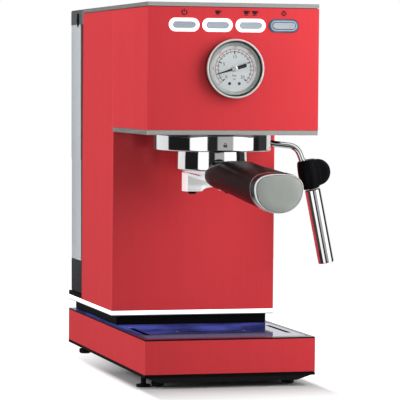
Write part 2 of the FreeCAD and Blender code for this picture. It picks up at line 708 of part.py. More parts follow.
# ---------------------------------------------------------------- water works and electrics
def pump_body():
    """Barrel of the vibration pump: inlet tail, piston bore and brass outlet."""
    barrel = disc(8, PUMP_X, PUMP_Y, 72, 150)
    tail = disc(4, PUMP_X, PUMP_Y, 64, 72)
    outlet = disc(5, PUMP_X, PUMP_Y, 150, 160)
    bore = disc(PISTON_R + 0.05, PUMP_X, PUMP_Y, 88, 138)
    way = disc(1.5, PUMP_X, PUMP_Y, 60, 165)
    return cut(fuse([barrel, tail, outlet]), [bore, way])


def pump_coil():
    block = box(PUMP_X - 19, PUMP_X + 19, PUMP_Y - 18, PUMP_Y + 18, 90, 140)
    bracket = box(PUMP_X - 26, PUMP_X + 26, PUMP_Y - 24, PUMP_Y + 24, 80, 81.5)
    arms = [box(PUMP_X + s * 20 - 1, PUMP_X + s * 20 + 1, PUMP_Y - 15, PUMP_Y + 15, 81.5, 138)
            for s in (-1, 1)]
    return fuse([block, bracket] + arms).cut(disc(8.1, PUMP_X, PUMP_Y, 70, 150))


def pump_mounts():
    return Part.Compound([disc(5, PUMP_X + x, PUMP_Y + y, 57, 80) for x in (-20, 20) for y in (-18, 18)])


def pump_piston():
    return disc(PISTON_R, PUMP_X, PUMP_Y, 93, 133).cut(disc(2, PUMP_X, PUMP_Y, 90, 136))


def hoses():
    """Suction hose, pressure hose, steam line and the gauge's capillary."""
    suction = bent_tube(3.5, [(0, 275, 54.5), (0, 275, 46), (PUMP_X, 190, 46), (PUMP_X, 190, 64)], 4)
    pressure = bent_tube(2.5, [(PUMP_X, PUMP_Y, 160), (PUMP_X, PUMP_Y, 238), (PUMP_X, 110, 238)], 25)
    steam = rod(2.5, (40, WAND_Y, 243), (44, WAND_Y, 243))
    capillary = bent_tube(1.4, [(0, 32, GAUGE_Z), (0, 52, GAUGE_Z), (0, 52, 256)], 6)
    return Part.Compound([suction, pressure, steam, capillary])


def control_board():
    board = box(62, 63.6, 140, 230, 90, 200)
    posts = [rod(2.5, (63.6, y, z), (70.8, y, z)) for y in (146, 224) for z in (96, 194)]
    relays = [box(48, 62, 150 + 22 * i, 166 + 22 * i, 100, 128) for i in range(3)]
    capacitor = rod(8, (44, 160, 160), (62, 160, 160))
    heat_sink = box(40, 62, 185, 215, 145, 180)
    return fuse([board, capacitor, heat_sink] + posts + relays)


def cord_gland():
    """Bushing in the rear of the base where the mains lead enters."""
    flange = rod(10, (CORD_X, BASE_REAR, CORD_Z), (CORD_X, BASE_REAR + 2.5, CORD_Z))
    body = rod(6.4, (CORD_X, 294, CORD_Z), (CORD_X, BASE_REAR, CORD_Z))
    nut = rod(8.5, (CORD_X, 296, CORD_Z), (CORD_X, BASE_REAR - SHEET, CORD_Z))
    bore = rod(CORD_R, (CORD_X, 290, CORD_Z), (CORD_X, BASE_REAR + 5, CORD_Z))
    return fuse([flange, body, nut]).cut(bore)


def machine_screws():
    """Screws: four under the pan, four that hold the group, one that holds the shower screen."""
    screws = []
    for x, y in SCREW_PLACES:
        screws.append(fuse([disc(3.4, x, y, 2.6, Z_PAN), disc(1.9, x, y, Z_PAN, 15)]))
    for x, y in GROUP_SCREWS:
        screws.append(fuse([disc(3.4, x, y, 221.5, 224.5), disc(1.9, x, y, 213, 221.5)]))
    screws.append(fuse([disc(4, 0, GROUP_Y, 205.7, 207.6), disc(2.4, 0, GROUP_Y, 207.6, 215)]))
    return Part.Compound(screws)


# ---------------------------------------------------------------- the nodes
def all_nodes():
    makers = [
        base_pan, base_panels, base_deck, base_chassis, rubber_feet, drip_tray, tray_front_panel, drip_grid,
        neck_housing, led_light_guide, column_floor, column_wrap, column_rear_wall, head_front_panel,
        head_side_panels, head_bottom_trim, head_floor_plate, top_cap, inner_frame, gauge_bezel, gauge_case,
        gauge_dial, gauge_glass, gauge_needle, gauge_movement, button_light_rings, button_board,
        group_collar, group_head, group_gasket, shower_screen, thermoblock, steam_valve_body, steam_knob,
        steam_pipe, wand_grip, wand_sleeve, portafilter_body, filter_basket, basket_clip, double_spout,
        handle_grip, handle_end_ring, handle_end_cap, basket_latch, water_tank, tank_lid, lid_clips,
        pump_body, pump_coil, pump_mounts, pump_piston, hoses, control_board, cord_gland, machine_screws,
    ]
    nodes = {maker.__name__: maker() for maker in makers}
    names = ("power_button", "single_cup_button", "double_cup_button", "steam_button")
    for name, x in zip(names, BUTTON_XS):
        nodes[name] = push_button(x)
    return nodes


def footprint_shift(nodes):
    """Moves the centre of the footprint box to the origin."""
    bounds = Part.Compound(list(nodes.values())).BoundBox
    return V(-(bounds.XMin + bounds.XMax) / 2, -(bounds.YMin + bounds.YMax) / 2, 0)


def main():
    nodes = all_nodes()
    shift = footprint_shift(nodes)
    os.makedirs("parts", exist_ok=True)
    for name, shape in nodes.items():
        placed = shape.copy()
        placed.translate(shift)
        placed.exportStep(os.path.join("parts", name + ".step"))
    print(len(nodes), "nodes, shift", shift)


if __name__ == "__main__":
    main()
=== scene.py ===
import json
import math

import bmesh
import bpy
from mathutils import Matrix, Vector

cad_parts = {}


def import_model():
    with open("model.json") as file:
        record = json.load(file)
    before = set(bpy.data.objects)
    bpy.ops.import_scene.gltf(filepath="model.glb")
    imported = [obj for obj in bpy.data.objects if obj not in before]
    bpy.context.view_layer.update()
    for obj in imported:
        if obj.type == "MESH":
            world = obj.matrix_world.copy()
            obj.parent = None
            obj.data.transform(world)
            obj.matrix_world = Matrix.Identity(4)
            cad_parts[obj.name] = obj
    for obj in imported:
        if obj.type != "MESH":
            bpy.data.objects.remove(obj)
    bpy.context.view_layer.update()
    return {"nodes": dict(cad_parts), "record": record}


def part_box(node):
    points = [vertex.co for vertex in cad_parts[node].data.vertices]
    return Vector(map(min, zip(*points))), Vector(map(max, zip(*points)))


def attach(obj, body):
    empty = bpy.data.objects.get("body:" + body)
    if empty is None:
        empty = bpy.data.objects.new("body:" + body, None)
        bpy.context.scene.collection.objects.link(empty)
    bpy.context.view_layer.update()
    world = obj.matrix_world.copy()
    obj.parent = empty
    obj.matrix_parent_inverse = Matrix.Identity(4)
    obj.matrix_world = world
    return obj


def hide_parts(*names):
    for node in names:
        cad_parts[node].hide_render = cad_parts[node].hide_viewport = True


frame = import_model()

# ---------------- the frame's own facts
MM = 0.001
RECORD = frame["record"]
SLOT_OF = {part["node"]: part["material_slot"] for part in RECORD["subparts"]}
BODY_OF = {node: body for body, nodes in RECORD["behaviour"]["bodies"].items() for node in nodes}

X_AXIS = Vector((1, 0, 0))
Y_AXIS = Vector((0, 1, 0))
Z_AXIS = Vector((0, 0, 1))


class Box:
    """A box in the row frame: its corners, middle and size, in metres."""

    def __init__(self, low, high):
        self.low = Vector(low)
        self.high = Vector(high)
        self.mid = (self.low + self.high) / 2
        self.size = self.high - self.low


def node_box(node):
    return Box(*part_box(node))


collar = node_box("group_collar")
CENTRE_X = collar.mid.x
FACE_Y = node_box("head_front_panel").low.y


def spot(x, y, z):
    """A point given in mm from the machine's centre plane, the head's front face and the worktop."""
    return Vector((CENTRE_X + x * MM, FACE_Y + y * MM, z * MM))


GROUP = Vector((CENTRE_X, collar.mid.y, 0))
GAUGE = Vector((CENTRE_X, FACE_Y, node_box("gauge_bezel").mid.z))

# The handle stands this far to the right of straight out.
HANDLE_TURN = math.radians(4.5)
HANDLE_OUT = Vector((math.sin(HANDLE_TURN), -math.cos(HANDLE_TURN), 0))
HANDLE_SIDE = Vector((math.cos(HANDLE_TURN), math.sin(HANDLE_TURN), 0))

# In mm: the reach of the handle's end ring and cap, and the tank's front and rear.
BAND_START, BAND_END, CAP_END = 153.5, 162.5, 163.1
TANK_FRONT, TANK_REAR = 248.5, 300.0


def on_handle(reach, side, z):
    """A point in mm: out along the handle from the group's axis, to its side, and up."""
    return GROUP + HANDLE_OUT * (reach * MM) + HANDLE_SIDE * (side * MM) + Z_AXIS * (z * MM)


# ---------------- materials
def even(value):
    """The same number three times, as a stretch or a grey."""
    return (value, value, value)


class Tree:
    """Nodes and links of a material or a world."""

    def __init__(self, owner):
        self.nodes = owner.node_tree.nodes
        self.link = owner.node_tree.links.new

    def add(self, kind, linked, values=(), output=0, **settings):
        """Adds a node; linked and values fill its inputs, by name or by number. Gives one of its outputs."""
        node = self.nodes.new("ShaderNode" + kind)
        for name, setting in settings.items():
            setattr(node, name, setting)
        for socket, value in dict(values).items():
            node.inputs[socket].default_value = value
        for socket, source in linked.items():
            self.link(source, node.inputs[socket])
        return node.outputs[output]

    def ramp(self, value, stops):
        """A colour ramp with (position, colour) stops."""
        colour = self.add("ValToRGB", {0: value})
        elements = colour.node.color_ramp.elements
        while len(elements) < len(stops):
            elements.new(0.5)
        for element, (position, shade) in zip(elements, stops):
            element.position = position
            element.color = (*shade, 1)
        return colour

    def span(self, value, low, high, to_low, to_high):
        """Turns the range from low to high into the range from to_low to to_high."""
        return self.add("MapRange", {0: value}, {1: low, 2: high, 3: to_low, 4: to_high})

    def combine(self, operation, first, second):
        return self.add("Math", {0: first, 1: second}, operation=operation)

    def rays(self, kind):
        """1 for one kind of ray and 0 for the rest."""
        return self.add("LightPath", {}, output=kind)

    def by_ray(self, kind, usual, other):
        """A shader that is other for one kind of ray and usual for the rest."""
        return self.add("MixShader", {0: self.rays(kind), 1: usual, 2: other})


class Finish(Tree):
    """One procedural material: a Principled shader, and the nodes that vary it over the surface."""

    def __init__(self, name, colour, **values):
        self.material = bpy.data.materials.new(name)
        self.material.use_nodes = True
        super().__init__(self.material)
        self.shader = self.nodes["Principled BSDF"]
        self.shader.inputs["Base Color"].default_value = (*colour, 1)
        for socket, value in values.items():
            self.shader.inputs[socket.replace("_", " ")].default_value = value
        self.place = self.add("TexCoord", {}, output="Object")

    def noise(self, stretch, detail=3.0):
        """Noise with the given number of waves per metre along X, Y and Z."""
        mapped = self.add("Mapping", {"Vector": self.place}, {"Scale": stretch})
        return self.add("TexNoise", {"Vector": mapped}, {"Scale": 1.0, "Detail": detail}, output="Fac")

    def along(self, axis):
        """Distance in metres along a direction."""
        return self.add("VectorMath", {0: self.place}, {1: axis}, "Value", operation="DOT_PRODUCT")

    def drive(self, socket, value):
        """Feeds one of the shader's inputs."""
        self.link(value, self.shader.inputs[socket])
        return self

    def colours(self, value, *stops):
        return self.drive("Base Color", self.ramp(value, stops))

    def roughness(self, value, low, high):
        return self.drive("Roughness", self.span(value, 0.3, 0.7, low, high))

    def bump(self, value, depth, strength=1.0):
        """Raises the surface by up to depth metres."""
        raised = self.add("Bump", {"Height": value}, {"Distance": depth, "Strength": strength})
        return self.drive("Normal", raised)


def plain(name, colour, roughness, variation=0.12, grain=900, depth=0.00002, **values):
    """A moulded or cast surface: slight mottling, uneven gloss and fine grain."""
    finish = Finish(name, colour, **values)
    mottle = finish.noise(even(60))
    darker = [c * (1 - variation) for c in colour]
    lighter = [min(1.0, c * (1 + variation)) for c in colour]
    finish.colours(mottle, (0.3, darker), (0.7, lighter))
    finish.roughness(finish.noise(even(140)), roughness * 0.85, roughness * 1.15)
    return finish.bump(finish.noise(even(grain), 2), depth)


def red_panel():
    """Satin red lacquer over sheet with fine upright brushing."""
    finish = Finish("red_lacquer", (0.8, 0.05, 0.06), Metallic=0.14, Specular_IOR_Level=0.25)
    fine = finish.noise((1100, 1100, 14), 2)
    broad = finish.noise((150, 150, 1.5), 2)
    streaks = finish.add("Mix", {"A": fine, "B": broad}, {"Factor": 0.5}, "Result")
    finish.colours(streaks, (0.36, (0.80, 0.053, 0.065)), (0.64, (0.83, 0.056, 0.068)))
    finish.roughness(streaks, 0.23, 0.27)
    return finish.bump(fine, 0.000001, 0.5)


def satin_silver():
    finish = Finish("satin_silver", (0.6, 0.61, 0.59), Metallic=0.9)
    grain = finish.noise((1500, 40, 1500), 3)
    finish.colours(grain, (0.35, (0.68, 0.70, 0.67)), (0.65, (0.78, 0.79, 0.76)))
    finish.roughness(grain, 0.30, 0.42)
    return finish.bump(grain, 0.000006)


def chrome():
    finish = Finish("chrome", (0.9, 0.9, 0.91), Metallic=1.0)
    haze = finish.noise(even(90), 3)
    finish.colours(haze, (0.35, (0.86, 0.87, 0.88)), (0.65, (0.93, 0.93, 0.94)))
    return finish.roughness(haze, 0.025, 0.06)


def cast_chrome():
    """Plated casting, softer than the turned parts; it gives off a little white light of its own, a painted
    glow that makes it look brighter.
    """
    finish = Finish("cast_chrome", (0.9, 0.9, 0.91), Metallic=0.4, Emission_Color=(1, 1, 1, 1),
                    Emission_Strength=0.27)
    haze = finish.noise(even(90), 3)
    finish.colours(haze, (0.35, (0.92, 0.93, 0.94)), (0.65, (0.97, 0.97, 0.98)))
    return finish.roughness(haze, 0.12, 0.2)


def ring_chrome():
    """Plating of the handle's end ring, its light and shade painted on: a painted dark reflection on the
    flank, and painted highlights on the rear edge, the front rim and the underside.
    """
    finish = Finish("ring_chrome", (0.9, 0.9, 0.91), Metallic=0.2, Specular_IOR_Level=0.2)
    rim = GROUP.dot(HANDLE_OUT) + BAND_END * MM
    along = finish.along(HANDLE_OUT)
    # Masks of painted highlights on the front rim, the rear edge and the underside; the flank between them is
    # painted dark.
    front = finish.span(along, rim - 1.6 * MM, rim - 0.9 * MM, 0, 1)
    rear = finish.span(along, rim - 8.2 * MM, rim - 7.6 * MM, 0.6, 0)
    under = finish.span(finish.along(Z_AXIS), 156 * MM, 166 * MM, 0.85, 0)
    painted_highlight = finish.combine("MAXIMUM", finish.combine("MAXIMUM", front, rear), under)
    finish.colours(painted_highlight, (0.0, (0.02, 0.02, 0.022)), (1.0, (0.92, 0.92, 0.93)))
    return finish.roughness(finish.noise(even(90), 3), 0.05, 0.1)


def bezel_chrome():
    """The gauge's rim, its light and shade painted on: a painted highlight to the front and a painted dark
    red reflection round its side.
    """
    finish = Finish("bezel_chrome", (0.9, 0.9, 0.91), Metallic=0.45)
    rim = FACE_Y - 5.4 * MM
    # Painted shading: 0 on the front, which is painted bright, and 1 round the side, which is painted dark.
    side = finish.span(finish.along(Y_AXIS), rim - 0.5 * MM, rim + 0.5 * MM, 0, 1)
    finish.colours(side, (0.0, (0.90, 0.88, 0.85)), (1.0, (0.09, 0.03, 0.03)))
    return finish.roughness(finish.noise(even(90), 3), 0.12, 0.2)


def neck_black():
    """Glossy black with a painted reflection: it glows violet in patches, but only in what is polished,
    standing in for the light strip's glow.
    """
    finish = plain("neck_black", (0.004, 0.004, 0.005), 0.3, Specular_IOR_Level=0.07,
                   Emission_Color=(0.08, 0.09, 0.4, 1))
    # Painted reflection of the light strip: violet light that only glossy rays see, uneven in patches.
    patches = finish.span(finish.noise((30, 30, 200)), 0.35, 0.65, 0.25, 1.0)
    painted_reflected_glow = finish.combine("MULTIPLY", patches, finish.rays("Is Glossy Ray"))
    return finish.drive("Emission Strength", painted_reflected_glow)


def polished_plate():
    """Mirror-polished drain plate with faint wiping marks, tinted violet all over: a painted reflection of
    the light strip's glow.
    """
    finish = Finish("polished_plate", (0.5, 0.5, 0.66), Metallic=1.0)
    marks = finish.noise((40, 900, 40), 4)
    # The violet tint in these colours is a painted reflection of the light strip's glow.
    finish.colours(marks, (0.35, (0.44, 0.44, 0.60)), (0.65, (0.54, 0.54, 0.70)))
    return finish.roughness(marks, 0.03, 0.07)


def steel():
    finish = Finish("brushed_steel", (0.5, 0.5, 0.51), Metallic=1.0)
    grain = finish.noise((60, 1400, 60), 3)
    finish.colours(grain, (0.35, (0.42, 0.42, 0.43)), (0.65, (0.58, 0.58, 0.59)))
    finish.roughness(grain, 0.28, 0.42)
    return finish.bump(grain, 0.000008)


def glowing(name, colour, light, strength):
    """Frosted plastic lit from inside, a little uneven along its length."""
    finish = Finish(name, colour, Roughness=0.35, Emission_Color=(*light, 1))
    patches = finish.noise(even(35))
    return finish.drive("Emission Strength", finish.span(patches, 0.3, 0.7, strength * 0.92, strength * 1.08))


def light_guide():
    """White light strip, dim along its lower edge; what is polished shows it with a painted dark violet
    reflection instead of its white light.
    """
    finish = Finish("light_guide", (0.12, 0.12, 0.14), Roughness=0.35)
    edge = node_box("led_light_guide").low.z
    lit = finish.span(finish.along(Z_AXIS), edge + 0.5 * MM, edge + 1.5 * MM, 0.05, 2.0)
    finish.drive("Emission Strength", lit)
    # Painted reflection: glossy rays see the strip dark violet, while other rays see it white.
    lit_and_painted_reflection_hues = {6: (0.95, 0.98, 1.0, 1), 7: (0.03, 0.015, 0.05, 1)}
    hue_with_painted_reflection = finish.add("Mix", {"Factor": finish.rays("Is Glossy Ray")}, lit_and_painted_reflection_hues, 2, data_type="RGBA")
    return finish.drive("Emission Color", hue_with_painted_reflection)


def button_light():
    return glowing("button_light", (0.9, 0.9, 0.95), (0.97, 0.98, 1.0), 1.1)


def gauge_glass():
    finish = Finish("gauge_glass", (0.98, 0.99, 0.99), Transmission_Weight=1.0, IOR=1.3)
    return finish.roughness(finish.noise(even(50)), 0.0, 0.015)


def clear_tank():
    """Smoke-tinted clear plastic, with painted dark red-brown shade along its front, next to the column."""
    finish = Finish("clear_tank", (0.75, 0.77, 0.78), Transmission_Weight=0.4, IOR=1.3)
    start = FACE_Y + TANK_FRONT * MM
    # Painted shade: the front 9.5 mm of the tank, next to the column, is coloured dark.
    painted_gap_shade = finish.span(finish.along(Y_AXIS), start, start + 9.5 * MM, 0, 1)
    tints_with_painted_shade = [(0.0, (0.05, 0.015, 0.015)), (0.62, (0.12, 0.06, 0.06)), (1.0, (0.85, 0.89, 0.93))]
    finish.colours(painted_gap_shade, *tints_with_painted_shade)
    return finish.roughness(finish.noise((30, 30, 8)), 0.10, 0.18)


# Moulded, cast and printed surfaces: colour, roughness, and what differs from plain's own values.
PLAIN = {
    "black_plastic": ((0.004, 0.004, 0.005), 0.4, dict(grain=1800, depth=0.00003, Specular_IOR_Level=0.07)),
    "gloss_black": ((0.004, 0.004, 0.005), 0.16, dict(grain=200, depth=0.00001, Specular_IOR_Level=0.3)),
    "blackened_steel": ((0.008, 0.008, 0.009), 0.6, dict(Metallic=0.3, Specular_IOR_Level=0.1)),
    "rubber": ((0.007, 0.007, 0.008), 0.65, dict(grain=1500, depth=0.00004, Specular_IOR_Level=0.08)),
    "cast_aluminium": ((0.55, 0.55, 0.56), 0.5, dict(grain=700, depth=0.0001, Metallic=0.9)),
    "brass": ((0.72, 0.52, 0.22), 0.3, dict(grain=400, Metallic=1.0)),
    "pump_plastic": ((0.05, 0.05, 0.06), 0.4, {}),
    "silicone": ((0.75, 0.75, 0.72), 0.5, dict(variation=0.05)),
    "circuit_board": ((0.02, 0.16, 0.06), 0.3, dict(variation=0.3, grain=300, depth=0.0001)),
    "button_light_off": ((0.05, 0.24, 0.38), 0.16, dict(variation=0.4, Coat_Weight=0.6)),
    "button_face": ((0.50, 0.55, 0.62), 0.35, dict(variation=0.04, Metallic=0.2)),
    "gauge_slope": ((0.52, 0.55, 0.53), 0.6, dict(variation=0.05, Metallic=0.25, Specular_IOR_Level=0.2)),
    "dial_white": ((0.93, 0.96, 0.98), 0.55, dict(variation=0.03, grain=600, depth=0.00001)),
    "needle_black": ((0.010, 0.010, 0.010), 0.45, dict(variation=0.3)),
    "ink_black": ((0.022, 0.018, 0.018), 0.5, dict(variation=0.3)),
    "ink_icon": ((0.020, 0.004, 0.005), 0.5, dict(variation=0.3)),
    "ink_red": ((0.62, 0.10, 0.10), 0.5, dict(variation=0.1)),
    "ink_grey": ((0.10, 0.11, 0.11), 0.45, dict(variation=0.1)),
    "handle_plastic": ((0.010, 0.0045, 0.005), 0.34,
                       dict(variation=0.1, grain=2200, depth=0.000006, Specular_IOR_Level=0.17)),
    "cap_insert": ((0.48, 0.51, 0.48), 0.55, dict(variation=0.03, grain=2500, depth=0.00001, Metallic=0.55)),
    "tank_base": ((0.040, 0.042, 0.045), 0.3, dict(variation=0.1, Specular_IOR_Level=0.05)),
    "smoke_lid": ((0.15, 0.16, 0.175), 0.25,
                  dict(variation=0.1, Transmission_Weight=0.35, Specular_IOR_Level=0.3)),
}
FINISHES = {}
for name, (colour, gloss, rest) in PLAIN.items():
    FINISHES[name] = plain(name, colour, gloss, **rest).material
for maker in (
    red_panel, satin_silver, chrome, cast_chrome, ring_chrome, bezel_chrome, steel, polished_plate,
    neck_black, light_guide, button_light, gauge_glass, clear_tank,
):
    FINISHES[maker.__name__] = maker().material


# ---------------- outlines
def rounded(points, radius, steps=4, closed=True):
    """The outline with each corner turned into a short curve; works in two and three dimensions."""
    out = []
    for i, point in enumerate(points):
        here = Vector(point)
        if not closed and i in (0, len(points) - 1):
            out.append(here)
            continue
        before = Vector(points[i - 1]) - here
        after = Vector(points[(i + 1) % len(points)]) - here
        reach = min(radius, before.length * 0.48, after.length * 0.48)
        start = here + before.normalized() * reach
        end = here + after.normalized() * reach
        for step in range(steps + 1):
            t = step / steps
            out.append(start.lerp(here, t).lerp(here.lerp(end, t), t))
    return out


def ring_points(radius, count, start=0.0, sweep=360.0):
    """Points on a circle; a full turn leaves out the last point."""
    whole = sweep >= 360
    steps = count if whole else count - 1
    angles = [math.radians(start + sweep * i / steps) for i in range(count)]
    return [Vector((radius * math.cos(a), radius * math.sin(a))) for a in angles]


def pill_points(width, height, count=12):
    """A stadium outline, its ends half circles."""
    r = height / 2
    s = width / 2 - r
    right = [p + Vector((s, 0)) for p in ring_points(r, count, -90, 180)]
    left = [p - Vector((s, 0)) for p in ring_points(r, count, 90, 180)]
    return right + left


def rectangle_points(x0, x1, y0, y1, radius):
    return rounded([(x0, y0), (x1, y0), (x1, y1), (x0, y1)], radius, 6)


# ---------------- meshes
def sweep_rings(bm, rings, loop=False, caps=True):
    """Joins rings of points with quads; a ring of one point closes to a tip."""
    made = [[bm.verts.new(point) for point in ring] for ring in rings]
    pairs = list(zip(made, made[1:])) + ([(made[-1], made[0])] if loop else [])
    for a, b in pairs:
        count = max(len(a), len(b))
        for i in range(count):
            j = (i + 1) % count
            corners = [a[i % len(a)], a[j % len(a)], b[j % len(b)], b[i % len(b)]]
            unique = list(dict.fromkeys(corners))
            if len(unique) > 2:
                bm.faces.new(unique)
    if caps and not loop:
        for ring in (made[0], made[-1]):
            if len(ring) > 2:
                bm.faces.new(ring)


def lathe(bm, profile, centre, axis, steps=72):
    """Turns (radius, distance) points in mm about an axis; a profile off the axis is a closed loop."""
    side = axis.orthogonal().normalized()
    other = axis.cross(side)
    rings = []
    for radius, distance in profile:
        middle = centre + axis * (distance * MM)
        if radius < 1e-6:
            rings.append([middle])
            continue
        turn = ring_points(radius * MM, steps)
        rings.append([middle + side * p.x + other * p.y for p in turn])
    on_axis = profile[0][0] < 1e-6 and profile[-1][0] < 1e-6
    sweep_rings(bm, rings, loop=not on_axis)


def tube(bm, points, radius, steps=28):
    """A round bar of that radius in mm along points in the row frame."""
    along = (points[1] - points[0]).normalized()
    side = along.orthogonal().normalized()
    rings = []
    for i, point in enumerate(points):
        before = points[max(i - 1, 0)]
        after = points[min(i + 1, len(points) - 1)]
        heading = (after - before).normalized()
        side = (side - heading * side.dot(heading)).normalized()
        other = heading.cross(side)
        rings.append([point + side * p.x + other * p.y for p in ring_points(radius * MM, steps)])
    sweep_rings(bm, rings)


def plate(bm, outline, low, high, place):
    """Pushes a flat outline in mm from one depth to another; place turns (u, v, depth) into a point."""
    rings = [[place(p[0], p[1], depth) for p in outline] for depth in (low, high)]
    sweep_rings(bm, rings)


def band(bm, outer, inner, low, high, place):
    """A flat outline with a hole, both with the same number of points."""
    rings = [(outer, low), (outer, high), (inner, high), (inner, low)]
    sweep_rings(bm, [[place(p[0], p[1], depth) for p in ring] for ring, depth in rings], loop=True)


def block(bm, box):
    """A box between two corners; its edges are rounded by the piece's bevel."""
    made = bmesh.ops.create_cube(bm, size=1.0)["verts"]
    bmesh.ops.scale(bm, vec=box.size, verts=made)
    bmesh.ops.translate(bm, vec=box.mid, verts=made)


def piece(name, bm, body, material, slot=None, stands_for=(), bevel=0.0, smooth=35, segments=3):
    """Makes a bmesh into an object that rides on a body."""
    bmesh.ops.recalc_face_normals(bm, faces=bm.faces)
    mesh = bpy.data.meshes.new(name)
    bm.to_mesh(mesh)
    bm.free()
    mesh.shade_smooth()
    mesh.set_sharp_from_angle(angle=math.radians(smooth))
    mesh.materials.append(material)
    made = bpy.data.objects.new(name, mesh)
    bpy.context.scene.collection.objects.link(made)
    if bevel:
        soften(made, bevel, segments)
    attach(made, body)
    if stands_for:
        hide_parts(*stands_for)
    return made


def soften(made, width, segments):
    """Rounds the sharp edges by a width in mm and keeps the flat faces flat."""
    edges = made.modifiers.new("soft_edges", "BEVEL")
    edges.width = width * MM
    edges.segments = segments
    edges.limit_method = "ANGLE"
    edges.angle_limit = math.radians(35)
    edges.use_clamp_overlap = True
    normals = made.modifiers.new("flat_faces", "WEIGHTED_NORMAL")
    normals.keep_sharp = False


def stand_in(node, bm, material=None, **settings):
    """A fine piece in place of a CAD node, on its body, in the finish of its slot unless another material is
    given.
    """
    slot = SLOT_OF[node]
    return piece("fine_" + node, bm, BODY_OF[node], material or FINISHES[slot], slot, (node,), **settings)


def turned(node, outline, centre, axis, steps, radius=0.0, material=None):
    """A fine piece that is one turned profile, its corners rounded by a radius in mm."""
    bm = bmesh.new()
    lathe(bm, rounded(outline, radius) if radius else outline, centre, axis, steps)
    stand_in(node, bm, material)


def merged(node):
    """The CAD node's own shape as a bmesh with joined faces."""
    bm = bmesh.new()
    bm.from_mesh(frame["nodes"][node].data)
    bmesh.ops.remove_doubles(bm, verts=bm.verts, dist=1e-6)
    return bm


def eased(node, width, material=None, segments=2):
    """The CAD node's own shape with rounded edges that catch the light."""
    bm = merged(node)
    bmesh.ops.dissolve_limit(bm, angle_limit=math.radians(0.5), verts=bm.verts, edges=bm.edges)
    made = stand_in(node, bm, material, bevel=width, segments=segments)
    for name in ("custom_normal", "sharp_face"):
        if name in made.data.attributes:
            made.data.attributes.remove(made.data.attributes[name])
    return made


def solids(node):
    """The boxes of a node's separate solids, from left to right."""
    bm = merged(node)
    left = set(bm.verts)
    boxes = []
    while left:
        reached = {left.pop()}
        front = list(reached)
        while front:
            for edge in front.pop().link_edges:
                for vert in edge.verts:
                    if vert in left:
                        left.remove(vert)
                        reached.add(vert)
                        front.append(vert)
        low = [min(v.co[i] for v in reached) for i in range(3)]
        high = [max(v.co[i] for v in reached) for i in range(3)]
        boxes.append(Box(low, high))
    bm.free()
    return sorted(boxes, key=lambda box: box.mid.x)


# ---------------- casing
def casing():
    """Sheet and moulded parts that keep their CAD shape, with eased edges."""
    for node, width in (
        ("base_pan", 0.8), ("base_panels", 0.35), ("base_deck", 0.5), ("drip_tray", 0.5),
        ("tray_front_panel", 0.35), ("drip_grid", 0.25), ("led_light_guide", 0.4),
        ("column_floor", 0.5), ("column_wrap", 0.35), ("column_rear_wall", 0.5),
        ("head_front_panel", 0.35), ("head_side_panels", 0.35), ("head_bottom_trim", 0.5),
        ("head_floor_plate", 0.3), ("top_cap", 0.6), ("steam_knob", 0.4),
    ):
        eased(node, width)
    eased("neck_housing", 0.6, FINISHES["neck_black"])
    eased("inner_frame", 0.2, FINISHES["blackened_steel"])


def rubber_feet():
    """Domed feet and a flat disc on its neck, wherever the CAD feet are."""
    bm = bmesh.new()
    for foot in solids("rubber_feet"):
        radius = foot.size.x / 2 / MM
        top = foot.size.z / MM
        centre = Vector((foot.mid.x, foot.mid.y, 0))
        if top > 6:
            profile = [(0, 0), (radius, 0), (radius, 2.2), (2.6, 2.4), (2.2, 3.2), (2.2, 8.5), (0, 8.5)]
        else:
            profile = [(0, 0.3), (2.2, 0.3), (2.8, 0), (radius - 0.9, 0), (radius, 1.6), (radius, top),
                       (0, top)]
        lathe(bm, rounded(profile, 0.8, closed=False), centre, Z_AXIS, 48)
    stand_in("rubber_feet", bm)


# ---------------- gauge
DIAL_FACE = node_box("gauge_dial").low.y


def on_dial(x, z, depth):
    """A point in mm to the right of the dial's centre, above it, and in front of its face."""
    return Vector((GAUGE.x + x * MM, DIAL_FACE - depth * MM, GAUGE.z + z * MM))


def gauge_parts():
    """Rim, steel can with the sloped silver ring round the dial, dial plate and window."""
    rim = [(24.45, 0), (25, 0), (25, -4.9), (24.9, -5.8), (24.5, -6.5), (23.9, -6.6),
           (23.4, -6.3), (23.2, -5.7), (23.1, -4.8), (24.45, -4.8)]
    can = [(22.0, -3.6), (24.4, -3.6), (24.4, 0), (22.9, 0), (22.9, 26), (4, 26), (4, 32), (2, 32),
           (2, 24.8), (21.5, 24.8), (21.5, -1.7), (19.4, -1.72), (19.2, -1.8), (19.4, -1.95)]
    dial = [(1.2, -1.7), (21.4, -1.7), (21.4, -0.9), (1.2, -0.9)]
    window = [(0, -4.8), (24.2, -4.8), (24.2, -3.6), (0, -3.6)]
    turned("gauge_bezel", rim, GAUGE, Y_AXIS, 128, 0.4, FINISHES["bezel_chrome"])
    turned("gauge_case", can, GAUGE, Y_AXIS, 128, 0.0, FINISHES["gauge_slope"])
    turned("gauge_dial", dial, GAUGE, Y_AXIS, 128, 0.1)
    turned("gauge_glass", window, GAUGE, Y_AXIS, 128)


DIAL_FULL = 20
DIAL_ZERO = 225.0
DIAL_SWEEP = 270.0
NEEDLE_TURN = 197.0
INK_DEPTH = 0.06


def dial_angle(reading):
    return math.radians(DIAL_ZERO - DIAL_SWEEP * reading / DIAL_FULL)


def tick(bm, angle, inner, outer, width):
    """A radial stroke on the dial."""
    out = Vector((math.cos(angle), math.sin(angle)))
    side = Vector((-out.y, out.x)) * (width / 2)
    outline = [out * inner - side, out * outer - side, out * outer + side, out * inner + side]
    plate(bm, outline, 0, INK_DEPTH, on_dial)


def arc_line(bm, radius, width, start, sweep, place, count=64):
    """A flat curved stroke about the origin of place."""
    outer = ring_points(radius + width / 2, count, start, sweep)
    inner = ring_points(radius - width / 2, count, start, sweep)
    plate(bm, outer + inner[::-1], 0, INK_DEPTH, place)


